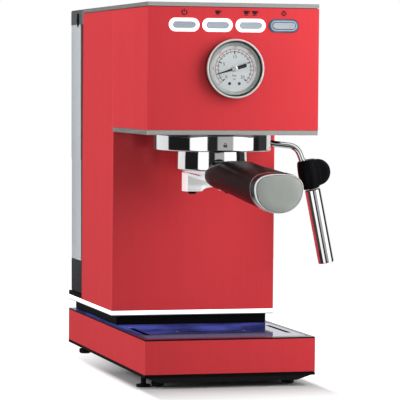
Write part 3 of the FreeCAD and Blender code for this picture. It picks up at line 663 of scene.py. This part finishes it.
def lettering(bm, text, size, x, z, turn=0.0):
    """Flat figures on the dial, centred on a point in mm and turned about it."""
    curve = bpy.data.curves.new("figures", "FONT")
    curve.body = text
    curve.size = size
    curve.align_x = "CENTER"
    curve.align_y = "CENTER"
    curve.extrude = INK_DEPTH / 2
    curve.resolution_u = 3
    source = bpy.data.objects.new("figures", curve)
    mesh = bpy.data.meshes.new_from_object(source)
    rotation = Matrix.Rotation(turn, 4, "Z")
    for vert in mesh.vertices:
        p = rotation @ vert.co
        vert.co = on_dial(x + p.x, z + p.y, p.z + INK_DEPTH / 2)
    bm.from_mesh(mesh)
    bpy.data.objects.remove(source)
    bpy.data.curves.remove(curve)
    bpy.data.meshes.remove(mesh)


def dial_print():
    """Black pressure scale with figures, red outer scale, unit marks and two small dots."""
    black = bmesh.new()
    red = bmesh.new()
    arc_line(black, 14.4, 0.4, DIAL_ZERO - DIAL_SWEEP, DIAL_SWEEP, on_dial)
    arc_line(red, 16.6, 0.4, DIAL_ZERO - DIAL_SWEEP, DIAL_SWEEP, on_dial)
    for reading in range(DIAL_FULL + 1):
        major = reading % 5 == 0
        tick(black, dial_angle(reading), 12.1 if major else 13.3, 14.5, 0.9 if major else 0.6)
        tick(red, dial_angle(reading), 15.2, 16.7, 0.6)
    for reading in range(0, DIAL_FULL + 1, 5):
        angle = dial_angle(reading)
        lettering(black, str(reading), 3.6, 9.9 * math.cos(angle), 9.9 * math.sin(angle))
    for i in range(6):
        angle = dial_angle(i * DIAL_FULL / 6)
        figure = str(i * 50)
        lettering(red, figure, 2.6, 18.4 * math.cos(angle), 18.4 * math.sin(angle), angle - math.pi / 2)
    lettering(black, "bar", 2.8, 0, -5.6)
    lettering(red, "psi", 2.4, 0, -8.4)
    for side in (-1, 1):
        dot = [p + Vector((side * 4.2, -12.4)) for p in ring_points(1.3, 20)]
        plate(black, dot, 0, INK_DEPTH, on_dial)
    piece("dial_figures", black, BODY_OF["gauge_dial"], FINISHES["ink_black"], "needle_black")
    piece("dial_red_scale", red, BODY_OF["gauge_dial"], FINISHES["ink_red"], "red_panel")


def gauge_needle():
    """Tapered pointer with a broad tail, pointing where the CAD needle points."""
    turn = math.radians(NEEDLE_TURN)
    out = Vector((math.cos(turn), math.sin(turn)))
    side = Vector((-out.y, out.x))
    outline = [(15.4, 0.3), (2, 0.95), (-2, 1.0), (-3.2, 1.45), (-10, 1.6), (-10.4, 1.2)]
    points = [out * r + side * w for r, w in outline] + [out * r - side * w for r, w in outline[::-1]]
    blade = bmesh.new()
    plate(blade, points, 0.85, 1.3, on_dial)
    stand_in("gauge_needle", blade, bevel=0.1)
    hub = bmesh.new()
    face = (GAUGE.y - node_box("gauge_needle").low.y) / MM
    cap = [(0, -face), (1.9, -face), (2.4, -face + 0.3), (2.6, -face + 0.7), (2.6, -2.4), (0, -2.4)]
    lathe(hub, rounded(cap, 0.2, closed=False), GAUGE, Y_AXIS, 48)
    lathe(hub, [(0, -2.4), (0.8, -2.4), (0.8, 9), (0, 9)], GAUGE, Y_AXIS, 24)
    piece("needle_hub", hub, BODY_OF["gauge_needle"], FINISHES["satin_silver"], "satin_silver")


# ---------------- buttons
BUTTON_NODES = ("power_button", "single_cup_button", "double_cup_button", "steam_button")


def pill_piece(stations, centre, loop=False):
    """A bmesh of pill outlines about a button's centre: (width, height, depth from the face) in mm."""
    bm = bmesh.new()
    rings = []
    for width, height, depth in stations:
        rings.append([centre + Vector((p.x * MM, depth * MM, p.y * MM)) for p in pill_points(width, height)])
    sweep_rings(bm, rings, loop)
    return bm


RING_STATIONS = [
    (28.2, 13, 3), (28.2, 13, 1.05), (25.6, 10.4, 1.05), (25.6, 10.4, -0.3), (25.2, 10.0, -0.65),
    (24.4, 9.2, -0.8), (21.3, 7.1, -0.8), (20.6, 6.4, -0.6), (20.3, 6.1, -0.2), (20.3, 6.1, 3),
]
LINER_STATIONS = [
    (22.9, 8.6, 0.5), (22.9, 8.6, -0.9), (22.5, 8.2, -1.1), (21.2, 6.9, -1.1), (20.7, 6.4, -0.9),
    (20.7, 6.4, 0.5),
]
FACE_STATIONS = [
    (22, 8, 4.6), (22, 8, 3.6), (19.7, 5.5, 3.6), (19.7, 5.5, -1.0), (19.4, 5.2, -1.3), (18.8, 4.6, -1.4),
    (17.6, 3.4, -1.36), (15.0, 0.9, -1.2),
]


def buttons():
    """Frosted rings and the grey push faces inside them; the steam button's ring is unlit and has a liner."""
    for node, ring_box in zip(BUTTON_NODES, solids("button_light_rings")):
        centre = Vector((ring_box.mid.x, FACE_Y, ring_box.mid.z))
        lit = node != "steam_button"
        material = FINISHES["button_light" if lit else "button_light_off"]
        ring = pill_piece(RING_STATIONS, centre, loop=True)
        piece(node + "_ring", ring, "machine", material, "button_light", ("button_light_rings",))
        if not lit:
            liner = pill_piece(LINER_STATIONS, centre, loop=True)
            piece(node + "_liner", liner, "machine", FINISHES["button_face"], "button_light")
        face = pill_piece(FACE_STATIONS, centre)
        lathe(face, [(0, 4.6), (1.8, 4.6), (1.8, 7.2), (0, 7.2)], centre, Y_AXIS, 24)
        stand_in(node, face)


# Function icons over the buttons: outlines in mm about each icon's centre.
ICON_Z = 315.2
ICON_DEPTH = 0.05


def icon_place(centre_x):
    def place(x, z, depth):
        return Vector((centre_x + x * MM, FACE_Y - depth * MM, (ICON_Z + z) * MM))
    return place


def power_icon(bm, place):
    arc_line(bm, 2.1, 0.9, 125, 290, place, 32)
    plate(bm, [(-0.45, 0.2), (0.45, 0.2), (0.45, 2.8), (-0.45, 2.8)], 0, ICON_DEPTH, place)


def cup_icon(bm, place, shift=0.0):
    def moved(x, z, depth):
        return place(x + shift, z, depth)
    bowl = rounded([(-2.4, 1.9), (-1.9, -0.5), (-1.0, -1.3), (1.0, -1.3), (1.7, -0.5), (1.9, 1.9)], 0.5)
    plate(bm, bowl, 0, ICON_DEPTH, moved)
    outer = rounded([(1.9, 1.7), (3.5, 1.7), (3.2, 0.1), (1.6, -0.4)], 0.6)
    inner = rounded([(1.95, 1.2), (2.9, 1.2), (2.7, 0.5), (1.8, 0.2)], 0.4)
    band(bm, outer, inner, 0, ICON_DEPTH, moved)
    plate(bm, [(-2.0, -2.2), (1.9, -2.2), (1.9, -1.75), (-2.0, -1.75)], 0, ICON_DEPTH, moved)


def steam_icon(bm, place):
    outer = rounded([(0, 2.9), (-2.7, 0), (0, -2.6), (2.7, 0)], 0.5)
    inner = rounded([(0, 1.7), (-1.5, 0), (0, -1.45), (1.5, 0)], 0.4)
    band(bm, outer, inner, 0, ICON_DEPTH, place)
    plate(bm, [(-0.35, -0.5), (0.35, -0.5), (0.35, 0.9), (-0.35, 0.9)], 0, ICON_DEPTH, place)


def icons():
    bm = bmesh.new()
    places = [icon_place(box.mid.x) for box in solids("button_light_rings")]
    power_icon(bm, places[0])
    cup_icon(bm, places[1])
    cup_icon(bm, places[2], -4.0)
    cup_icon(bm, places[2], 3.4)
    steam_icon(bm, places[3])
    piece("button_icons", bm, "machine", FINISHES["ink_icon"], "needle_black")


# ---------------- brew group and portafilter
def group_collar():
    top, low, outer = collar.high.z / MM, collar.low.z / MM, collar.size.x / 2 / MM
    outline = [(outer, top), (outer, low + 0.9), (outer - 0.9, low), (31.6, low), (31.6, low + 1.5),
               (outer - 1.8, low + 1.5), (outer - 1.8, top)]
    turned("group_collar", outline, GROUP, Z_AXIS, 160, 0.5)


LOCK_TURN = math.radians(-1.8)
LOCK_Z = 203.7


def lock_mark():
    """Small padlock on the collar that shows where the handle locks."""
    radius = collar.size.x / 2 + 0.03 * MM

    def place(x, z, depth):
        turn = LOCK_TURN + x * MM / radius
        out = Vector((math.sin(turn), -math.cos(turn), 0))
        return GROUP + out * (radius + depth * MM) + Z_AXIS * ((LOCK_Z + z) * MM)

    bm = bmesh.new()
    shackle = ring_points(1.25, 16, 0, 180) + ring_points(0.8, 16, 0, 180)[::-1]
    for outline in (rectangle_points(-1.7, 1.7, -1.6, 0.8, 0.4), [p + Vector((0, 1.0)) for p in shackle]):
        plate(bm, outline, 0, 0.04, place)
    piece("lock_mark", bm, "machine", FINISHES["ink_grey"], "needle_black")


def portafilter_body():
    ring_top = node_box("portafilter_body").high.z / MM
    outline = [(28.4, ring_top), (30.5, ring_top), (31.2, 194), (31.4, 182.4), (30.3, 181.2), (10, 176.9),
               (9, 175.8), (3, 175.8), (3, 179.4), (12, 180.4), (28.4, 185)]
    bm = bmesh.new()
    lathe(bm, rounded(outline, 0.5), GROUP, Z_AXIS, 128)
    rings = []
    stations = [(29.2, 8.0, 2.9), (31.5, 7.4, 2.6), (34.2, 7.2, 2.5), (38, 7.2, 2.5)]
    for reach, half_width, half_height in stations:
        turn = rectangle_points(-half_width, half_width, -half_height, half_height, 2.4)
        rings.append([on_handle(reach, p.x, 184.4 + p.y) for p in turn])
    sweep_rings(bm, rings)
    stand_in("portafilter_body", bm)


# The spout's cross bar, its arch, its hub and its outlets, in mm.
SPOUT_HALF, SPOUT_BOTTOM, SPOUT_DEPTH = 24.4, 163.0, 7.0
ARCH_HALF, ARCH_TOP = 10.0, 166.6
HUB_HALF = 8.0
OUTLET_X = 17


def spout_outline(x):
    """The cross bar's section as (reach, height), at x mm to its side: its top slopes to the front."""
    arch = max(0.0, 1 - (x / ARCH_HALF) ** 2) ** 0.5
    low = SPOUT_BOTTOM + (ARCH_TOP - SPOUT_BOTTOM) * arch
    sink = 4.6 * max(0.0, 1 - (x / 21) ** 2)
    end = min(1.0, (SPOUT_HALF - abs(x)) / 1.6)
    depth = SPOUT_DEPTH - 1.6 * (1 - math.sqrt(max(0.0, 1 - (1 - end) ** 2)))
    front, rear = 176.2 - sink, 179.2 - 0.8 * sink
    outline = [(depth, low), (depth, front), (0, rear - 0.3), (-depth, rear), (-depth, low)]
    return rounded(outline, 0.6, 3)


def double_spout():
    """Cross bar with a sloping top, arched underneath, on a short hub, and two black nozzles."""
    bm = bmesh.new()
    places = [SPOUT_HALF * math.sin(math.pi * (i / 60 - 0.5)) for i in range(61)]
    sweep_rings(bm, [[on_handle(p.x, x, p.y) for p in spout_outline(x)] for x in places])
    lathe(bm, [(0, 170), (HUB_HALF, 170), (HUB_HALF, 178), (0, 178)], GROUP, Z_AXIS, 48)
    # The spout's plating carries a painted glow of its own.
    stand_in("double_spout", bm, FINISHES["cast_chrome"], smooth=28)
    tips = bmesh.new()
    outline = [(1.9, 160.8), (3.1, 160.8), (3.5, 161.3), (3.5, 163.2), (1.9, 163.2)]
    for side in (-1, 1):
        lathe(tips, rounded(outline, 0.2), on_handle(0, side * OUTLET_X, 0), Z_AXIS, 40)
    piece("spout_tips", tips, "portafilter", FINISHES["black_plastic"], "black_plastic", ("double_spout",))


# Handle stations: reach, height, half width and half height, in mm.
GRIP_STATIONS = [
    (34, 176.2, 13.6, 7.2), (34.6, 176.2, 16.4, 8.8), (36.5, 176.3, 18.6, 10.0), (41.5, 176.6, 19.8, 11.0),
    (50, 177.2, 20.0, 12.4), (60, 177.3, 20.0, 13.9), (70, 176.9, 20.0, 14.4), (80, 175.8, 20.0, 14.5),
    (100, 173.6, 20.2, 14.9), (120, 171.8, 20.6, 15.4), (140, 169.9, 21.1, 15.8),
]


def grip_ring(reach, z, half_width, half_height, taper=0.1, count=56):
    """Egg-shaped outline across the handle: broad flat top, narrower below."""
    ring = []
    for i in range(count):
        t = 2 * math.pi * i / count
        c, s = math.cos(t), math.sin(t)
        power = 0.72 if s > 0 else 0.9
        side = half_width * math.copysign(abs(c) ** power, c) * (1 + taper * s)
        ring.append(on_handle(reach, side, z + half_height * math.copysign(abs(s) ** 0.9, s)))
    return ring


END_TAPER = 0.16


def end_rings(stations):
    """Outlines of the handle's end; stations are (reach, height, inset from the end's outline)."""
    return [grip_ring(reach, z, 22.0 - inset, 16.6 - 0.6 * inset, END_TAPER) for reach, z, inset in stations]


def handle():
    grip = bmesh.new()
    rings = [grip_ring(*station) for station in GRIP_STATIONS]
    rings.append(grip_ring(BAND_START, 168.6, 21.5, 15.9, END_TAPER))
    sweep_rings(grip, rings)
    stand_in("handle_grip", grip, smooth=50)
    ring = bmesh.new()
    stations = [(BAND_START, 168.5, 0.9), (BAND_START + 0.3, 168.5, 0.1), (BAND_START + 1, 168.4, 0),
                (BAND_END - 1.0, 167.8, 1.2), (BAND_END - 0.3, 167.8, 1.4), (BAND_END, 167.8, 1.8),
                (BAND_END - 0.1, 167.8, 2.2), (BAND_END - 1.9, 167.8, 2.5), (BAND_END - 3, 167.9, 2.5),
                (BAND_START, 168.4, 2.5)]
    sweep_rings(ring, end_rings(stations), loop=True)
    stand_in("handle_end_ring", ring, FINISHES["ring_chrome"], smooth=30)
    cap = bmesh.new()
    stations = [(BAND_END - 2.5, 167.9, 2.55), (CAP_END - 0.7, 167.8, 2.55), (CAP_END - 0.2, 167.8, 2.9),
                (CAP_END, 167.8, 3.6), (CAP_END - 0.02, 167.8, 12)]
    sweep_rings(cap, end_rings(stations))
    stand_in("handle_end_cap", cap, smooth=30)


def basket_latch():
    """Flip lever on the handle's root, with a lifted thumb edge."""
    side_view = [(45.9, 187.6), (45.9, 189.0), (44.5, 189.4), (37, 189.0), (34.4, 188.9), (33.0, 188.2),
                 (33.6, 187.2), (35, 186.6)]
    outline = rounded(side_view, 0.5, 3)
    bm = bmesh.new()
    sweep_rings(bm, [[on_handle(reach, side, z) for reach, z in outline] for side in (-11, 4)])
    stand_in("basket_latch", bm, FINISHES["gloss_black"], bevel=0.35)


# ---------------- steam wand
WAND_Y = 92
PIPE_RADIUS, PIPE_BEND = 2.8, 7.5
WAND_BENDS = [(56, 224), (56, 204.2), (84.7, 201.2), (99.2, 165.6), (111.4, 106.5)]
WAND_PATH = [spot(x, WAND_Y, z) for x, z in WAND_BENDS]
SLEEVE_TOP = spot(99.5, WAND_Y, 164.2)
SLEEVE_END = spot(113.2, WAND_Y, 98.1)
SLEEVE_DOWN = (SLEEVE_END - SLEEVE_TOP).normalized()


def steam_pipe():
    bm = bmesh.new()
    tube(bm, rounded(WAND_PATH, PIPE_BEND * MM, 10, closed=False), PIPE_RADIUS)
    stand_in("steam_pipe", bm, smooth=60)
    ferrule = bmesh.new()
    knee, elbow = WAND_PATH[2:4]
    outline = [(PIPE_RADIUS, 12.9), (3.2, 12.9), (3.4, 13.1), (3.4, 17.4), (PIPE_RADIUS, 17.4)]
    lathe(ferrule, rounded(outline, 0.3), knee, (elbow - knee).normalized(), 48)
    piece("wand_ferrule", ferrule, "steam_wand", FINISHES["chrome"], "chrome")


def wand_grip():
    """Moulded grip: a barrel round the pipe that swells into a round thumb pad."""
    bm = bmesh.new()
    barrel = [(0, -25.6), (6.8, -25.6), (8.2, -24.8), (8.9, -22.6), (9.6, -14), (8.9, -7), (7.6, -0.9),
              (7.0, 0.4), (0, 0.4)]
    lathe(bm, barrel, SLEEVE_TOP - X_AXIS * (0.8 * MM), SLEEVE_DOWN, 64)
    pad_centre = SLEEVE_TOP - SLEEVE_DOWN * (15 * MM) + Vector((7.5 * MM, 0, -0.4 * MM))
    pad = [(0, -4.0), (8.5, -4.4), (10.8, -3.6), (11.8, -1.6), (11.8, 1.6), (10.8, 3.6), (8.5, 4.4), (0, 4.0)]
    lathe(bm, pad, pad_centre, Y_AXIS, 64)
    made = stand_in("wand_grip", bm, smooth=60)
    skin = made.modifiers.new("one_skin", "REMESH")
    skin.mode = "VOXEL"
    skin.voxel_size = 0.6 * MM
    skin.use_smooth_shade = True
    relax = made.modifiers.new("blended", "SMOOTH")
    relax.factor = 0.5
    relax.iterations = 8


def wand_sleeve():
    """Open steel sleeve with a rolled end, closed round the pipe at its top."""
    length = (SLEEVE_END - SLEEVE_TOP).length / MM
    outline = [(2.9, 0.8), (6.2, 0.8), (7.0, 1.6), (7.0, length - 0.6), (6.75, length - 0.05),
               (6.3, length - 0.1), (6.1, length - 0.6), (6.1, 8), (2.9, 8)]
    turned("wand_sleeve", outline, SLEEVE_TOP, SLEEVE_DOWN, 72, 0.2)


# ---------------- water tank
# In mm: the wall, how far each side leans out, the heights of the dark foot, the step and the rim, and
# the half width of the hinge.
TANK_WALL = 2.2
TANK_FLARE = 1.5
FOOT_TOP, STEP_Z, RIM_Z = 90.0, 184.0, 311.0
HINGE_HALF = 56


def tank_rings(stations, front=TANK_FRONT, rear=TANK_REAR):
    """Rounded rectangles; stations are (inset in mm, height in mm, corner radius in mm)."""
    tank = node_box("water_tank")
    rings = []
    for inset, z, radius in stations:
        x = tank.size.x / 2 / MM - inset + TANK_FLARE * (z * MM - tank.low.z) / tank.size.z
        turn = rectangle_points(-x, x, front + inset, rear - inset, radius)
        rings.append([spot(p.x, p.y, z) for p in turn])
    return rings


def water_tank():
    """Clear walls with the hinge's two arms, and the dark foot with its valve seat."""
    low = node_box("water_tank").low.z / MM
    clear = bmesh.new()
    walls = [(0.25, FOOT_TOP, 4), (0.25, STEP_Z - 0.3, 4), (0, STEP_Z + 0.3, 4), (0, RIM_Z - 2.6, 4),
             (0, RIM_Z - 0.5, 4), (0.4, RIM_Z, 3.6), (TANK_WALL - 0.4, RIM_Z, 2.4),
             (TANK_WALL, RIM_Z - 0.5, 2), (TANK_WALL, FOOT_TOP, 2)]
    sweep_rings(clear, tank_rings(walls), loop=True)
    arm = [(300, 303.2), (302.6, 303.2), (304.3, 306), (304.5, 311.6), (303.8, 313.2), (302.3, 313.8),
           (300.8, 313.2), (300, 311.4)]
    for sides in ((-60, -56.3), (56.3, 60)):
        sweep_rings(clear, [[spot(x, y, z) for y, z in rounded(arm, 0.8, 3)] for x in sides])
    stand_in("water_tank", clear, smooth=40)
    foot = bmesh.new()
    cup = [(3, low, 3), (0.6, low, 4), (0, low + 0.8, 4), (0, FOOT_TOP - 1.0, 4), (0.15, FOOT_TOP - 0.1, 4),
           (TANK_WALL, FOOT_TOP - 0.1, 2), (TANK_WALL, low + 3.2, 2), (3, low + 2.7, 2)]
    sweep_rings(foot, tank_rings(cup))
    seat = [(1.5, low + 2.5), (8, low + 2.5), (8, 68.6), (7.6, 69), (1.5, 69)]
    lathe(foot, seat, spot(0, 275, 0), Z_AXIS, 40)
    piece("tank_base", foot, "water_tank", FINISHES["tank_base"], "smoke_lid", ("water_tank",), smooth=40)


LID_FRONT, LID_REAR = 247.9, 299.4


def tank_lid():
    """Hollow lid with its hinge barrel and the web between them."""
    lid = node_box("tank_lid")
    low, high = lid.low.z / MM, lid.high.z / MM
    outer = [(-0.3, low, 4), (-0.3, high - 1.6, 4), (0.0, high - 0.6, 3.8), (0.9, high - 0.05, 3.4),
             (6, high, 3)]
    hollow = [(1.7, low, 3), (1.7, high - 2.4, 3), (2.4, high - 2, 2.4)]
    bm = bmesh.new()
    sweep_rings(bm, tank_rings(outer[::-1] + hollow, LID_FRONT, LID_REAR))
    end, edge = HINGE_HALF, HINGE_HALF - 0.2
    barrel = [(0, -end), (1.6, -end), (1.8, -edge), (1.8, edge), (1.6, end), (0, end)]
    lathe(bm, barrel, spot(0, 302.3, 311.6), X_AXIS, 28)
    block(bm, Box(spot(-end, 298.5, 311.8), spot(end, 302.3, 313.3)))
    stand_in("tank_lid", bm, smooth=40)


# The clips stand off the lid by a gap, and are thinner than the CAD clips, in mm.
CLIP_GAP, CLIP_THINNER = 0.3, 0.4


def lid_clips():
    """V-shaped tongues with an open middle, one on each side of the lid."""
    outline = [(262.2, 320), (268.0, 320), (270.4, 313), (265.8, 306.8), (261.2, 312)]
    hole = [(264.0, 316.5), (266.4, 316.5), (267.6, 313), (265.8, 310.4), (263.8, 312.4)]
    bm = bmesh.new()
    for clip in solids("lid_clips"):
        outward = 1 if clip.mid.x > CENTRE_X else -1
        inner_x = (clip.low.x if outward > 0 else clip.high.x) + outward * (TANK_FLARE + CLIP_GAP) * MM

        def place(y, z, depth):
            return Vector((inner_x + outward * depth * MM, FACE_Y + y * MM, z * MM))

        thick = clip.size.x / MM - CLIP_THINNER
        band(bm, rounded(outline, 0.8, 3), rounded(hole, 0.5, 3), 0, thick, place)
    stand_in("lid_clips", bm, FINISHES["black_plastic"], bevel=0.15)


def cord_gland():
    gland = node_box("cord_gland")
    rear = gland.high.y / MM
    outline = [(3.6, rear - 11.5), (6.4, rear - 11.5), (6.4, rear - 2.5), (10, rear - 2.5), (10, rear - 1.2),
               (8.6, rear - 0.1), (5.4, rear), (4.2, rear - 0.4), (3.6, rear - 1.4)]
    turned("cord_gland", outline, Vector((gland.mid.x, 0, gland.mid.z)), Y_AXIS, 56, 0.4)


# ---------------- inner parts
def inner_parts():
    """CAD nodes that stay as they are get the finish of their slot."""
    for node, made in frame["nodes"].items():
        if made.hide_render:
            continue
        made.data.materials.clear()
        made.data.materials.append(FINISHES[SLOT_OF[node]])


# ---------------- studio
FLOOR_RADIUS = 1.4
FLOOR_MIDDLE = spot(0, 150, 0)
# The floor's own light rises through FLOOR_GLOW, between two distances in metres from the shadow's footprint;
# the dimmer floor near the base is a painted shadow.
# That is the base without its rear SHADOW_SHORTER mm. SHADOW_STRETCH scales distance along X, Y and Z.
FLOOR_GLOW = (0.0, 0.86)
FLOOR_GLOW_REACH = (0.01, 0.17)
SHADOW_STRETCH = (16, 1, 0)
SHADOW_SHORTER = 190.0
AMBIENT = 0.34


def floor():
    """Pale floor, bright enough to run into the background, with a painted soft shadow round the base; it
    sends little light back up.
    """
    mesh = bpy.data.meshes.new("floor")
    ring = ring_points(FLOOR_RADIUS, 96)
    corners = [(FLOOR_MIDDLE.x + p.x, FLOOR_MIDDLE.y + p.y, 0) for p in ring]
    mesh.from_pydata(corners, [], [range(len(ring))])
    finish = Finish("floor", even(0.6), Specular_IOR_Level=0.0, Emission_Color=(1, 1, 1, 1))
    finish.colours(finish.noise(even(3)), (0.3, even(0.59)), (0.7, even(0.61)))
    pan = node_box("base_pan")
    painted_shadow_footprint = Box(pan.low, pan.high - Y_AXIS * (SHADOW_SHORTER * MM))
    painted_shadow_distance = finish.place
    for operation, values in (
        ("SUBTRACT", {1: painted_shadow_footprint.mid}), ("ABSOLUTE", {}), ("SUBTRACT", {1: painted_shadow_footprint.size / 2}),
        ("MAXIMUM", {1: (0, 0, 0)}), ("MULTIPLY", {1: SHADOW_STRETCH}),
    ):
        painted_shadow_distance = finish.add("VectorMath", {0: painted_shadow_distance}, values, operation=operation)
    painted_shadow_distance = finish.add("VectorMath", {0: painted_shadow_distance}, output="Value", operation="LENGTH")
    # Painted shadow: the floor gives off less light near the base.
    finish.drive("Emission Strength", finish.span(painted_shadow_distance, *FLOOR_GLOW_REACH, *FLOOR_GLOW))
    dull = finish.add("BsdfDiffuse", {}, {"Color": (0.3, 0.3, 0.3, 1)})
    shown = finish.by_ray("Is Diffuse Ray", finish.shader.outputs[0], dull)
    shown = finish.by_ray("Is Glossy Ray", shown, finish.add("BsdfTransparent", {}))
    finish.link(shown, finish.nodes["Material Output"].inputs["Surface"])
    mesh.materials.append(finish.material)
    made = bpy.data.objects.new("floor", mesh)
    bpy.context.scene.collection.objects.link(made)


# Studio walls as glossy surfaces see them, from the rear round by the left, the front and the right:
# (azimuth in degrees, brightness at eye level, brightness above and below it).
WALLS = [
    (-180, 0.06, 0.05), (-148, 0.06, 0.05), (-144, 0.85, 0.70), (-107, 0.80, 0.70), (-105, 0.012, 0.05),
    (-57, 0.012, 0.05), (-55, 1.25, 1.0), (-23.5, 1.25, 1.0), (-21.5, 0.02, 0.03), (-3.5, 0.02, 0.03),
    (-1.5, 0.40, 0.04), (27.5, 0.42, 0.04), (29.5, 1.25, 1.0), (73, 1.25, 1.0), (75, 0.012, 0.05),
    (88, 0.012, 0.05), (92, 0.04, 0.05), (120, 0.04, 0.05), (123, 0.75, 0.60), (166, 0.80, 0.60),
    (172, 0.06, 0.05), (180, 0.06, 0.05),
]
CEILING = 0.45


def world():
    """White room: plain light for everything, and upright dark and light walls for reflections."""
    studio = bpy.data.worlds.new("studio")
    bpy.context.scene.world = studio
    studio.use_nodes = True
    studio.cycles.sampling_method = "NONE"
    tree = Tree(studio)
    tree.nodes.clear()
    split = tree.add("SeparateXYZ", {0: tree.add("TexCoord", {}, output="Generated")}).node.outputs
    back = tree.add("Math", {0: split["Y"]}, {1: -1.0}, operation="MULTIPLY")
    azimuth = tree.combine("ARCTAN2", split["X"], back)
    share = tree.span(azimuth, -math.pi, math.pi, 0.0, 1.0)
    steep = tree.add("Math", {0: split["Z"]}, operation="ABSOLUTE")

    def walls(column):
        return tree.ramp(share, [((row[0] + 180) / 360, even(row[column])) for row in WALLS])

    def above(low, high):
        """0 for rays nearer to level than low and 1 for rays steeper than high."""
        return tree.span(steep, low, high, 0.0, 1.0)

    def background(strength, colours=()):
        return tree.add("Background", dict(colours), {0: (1, 1, 1, 1), 1: strength})

    sides = {"Factor": above(0.12, 0.25), 6: walls(1), 7: walls(2)}
    room = {"Factor": above(0.86, 0.96), 6: tree.add("Mix", sides, output=2, data_type="RGBA")}
    seen = tree.add("Mix", room, {7: (*even(CEILING), 1)}, 2, data_type="RGBA")
    shown = tree.by_ray("Is Diffuse Ray", background(1.0), background(AMBIENT))
    shown = tree.by_ray("Is Glossy Ray", shown, background(1.0, {0: seen}))
    tree.link(shown, tree.nodes.new("ShaderNodeOutputWorld").inputs["Surface"])


# Lamps: place in mm, width and height in metres, and power in watts.
LAMPS = {"key_right": ((350, -190, 360), 0.35, 0.5, 2.7), "fill_left": ((-1300, 200, 420), 1.2, 1.2, 18)}
LAMP_AIM = spot(0, 60, 160)


def lights():
    """Soft lamps that no surface mirrors; the walls above stand in for them there."""
    for name, (place, width, height, power) in LAMPS.items():
        lamp = bpy.data.lights.new(name, "AREA")
        lamp.shape = "RECTANGLE"
        lamp.size, lamp.size_y = width, height
        lamp.energy = power
        made = bpy.data.objects.new(name, lamp)
        bpy.context.scene.collection.objects.link(made)
        made.location = spot(*place)
        made.rotation_mode = "QUATERNION"
        made.rotation_quaternion = (LAMP_AIM - made.location).to_track_quat("-Z", "Y")
        made.visible_camera = False
        made.visible_glossy = False


# View of the machine: degrees, metres and millimetres of focal length.
CAMERA_AZIMUTH, CAMERA_ELEVATION, CAMERA_ROLL = -15.2, 2.709, 0.475
CAMERA_DISTANCE = 2.16793
CAMERA_TARGET = spot(-1.264, 100, 153.799)
CAMERA_SENSOR = 36.0
CAMERA_LENS = 222.295


def camera():
    data = bpy.data.cameras.new("camera")
    data.sensor_width = CAMERA_SENSOR
    data.lens = CAMERA_LENS
    data.clip_start, data.clip_end = 0.1, 50
    made = bpy.data.objects.new("camera", data)
    bpy.context.scene.collection.objects.link(made)
    turn = (
        Matrix.Rotation(math.radians(CAMERA_AZIMUTH), 4, "Z")
        @ Matrix.Rotation(math.radians(90 - CAMERA_ELEVATION), 4, "X")
        @ Matrix.Rotation(math.radians(CAMERA_ROLL), 4, "Z")
    )
    back = turn.to_3x3() @ Z_AXIS
    made.matrix_world = Matrix.Translation(CAMERA_TARGET + back * CAMERA_DISTANCE) @ turn
    bpy.context.scene.camera = made
    bpy.context.scene.view_settings.view_transform = "Standard"


# ---------------- everything
for make in (
    camera, world, lights, floor, casing, rubber_feet, gauge_parts, dial_print, gauge_needle, buttons, icons,
    group_collar, lock_mark, portafilter_body, double_spout, handle, basket_latch, steam_pipe, wand_grip,
    wand_sleeve, water_tank, tank_lid, lid_clips, cord_gland, inner_parts,
):
    make()

bpy.context.view_layer.update()
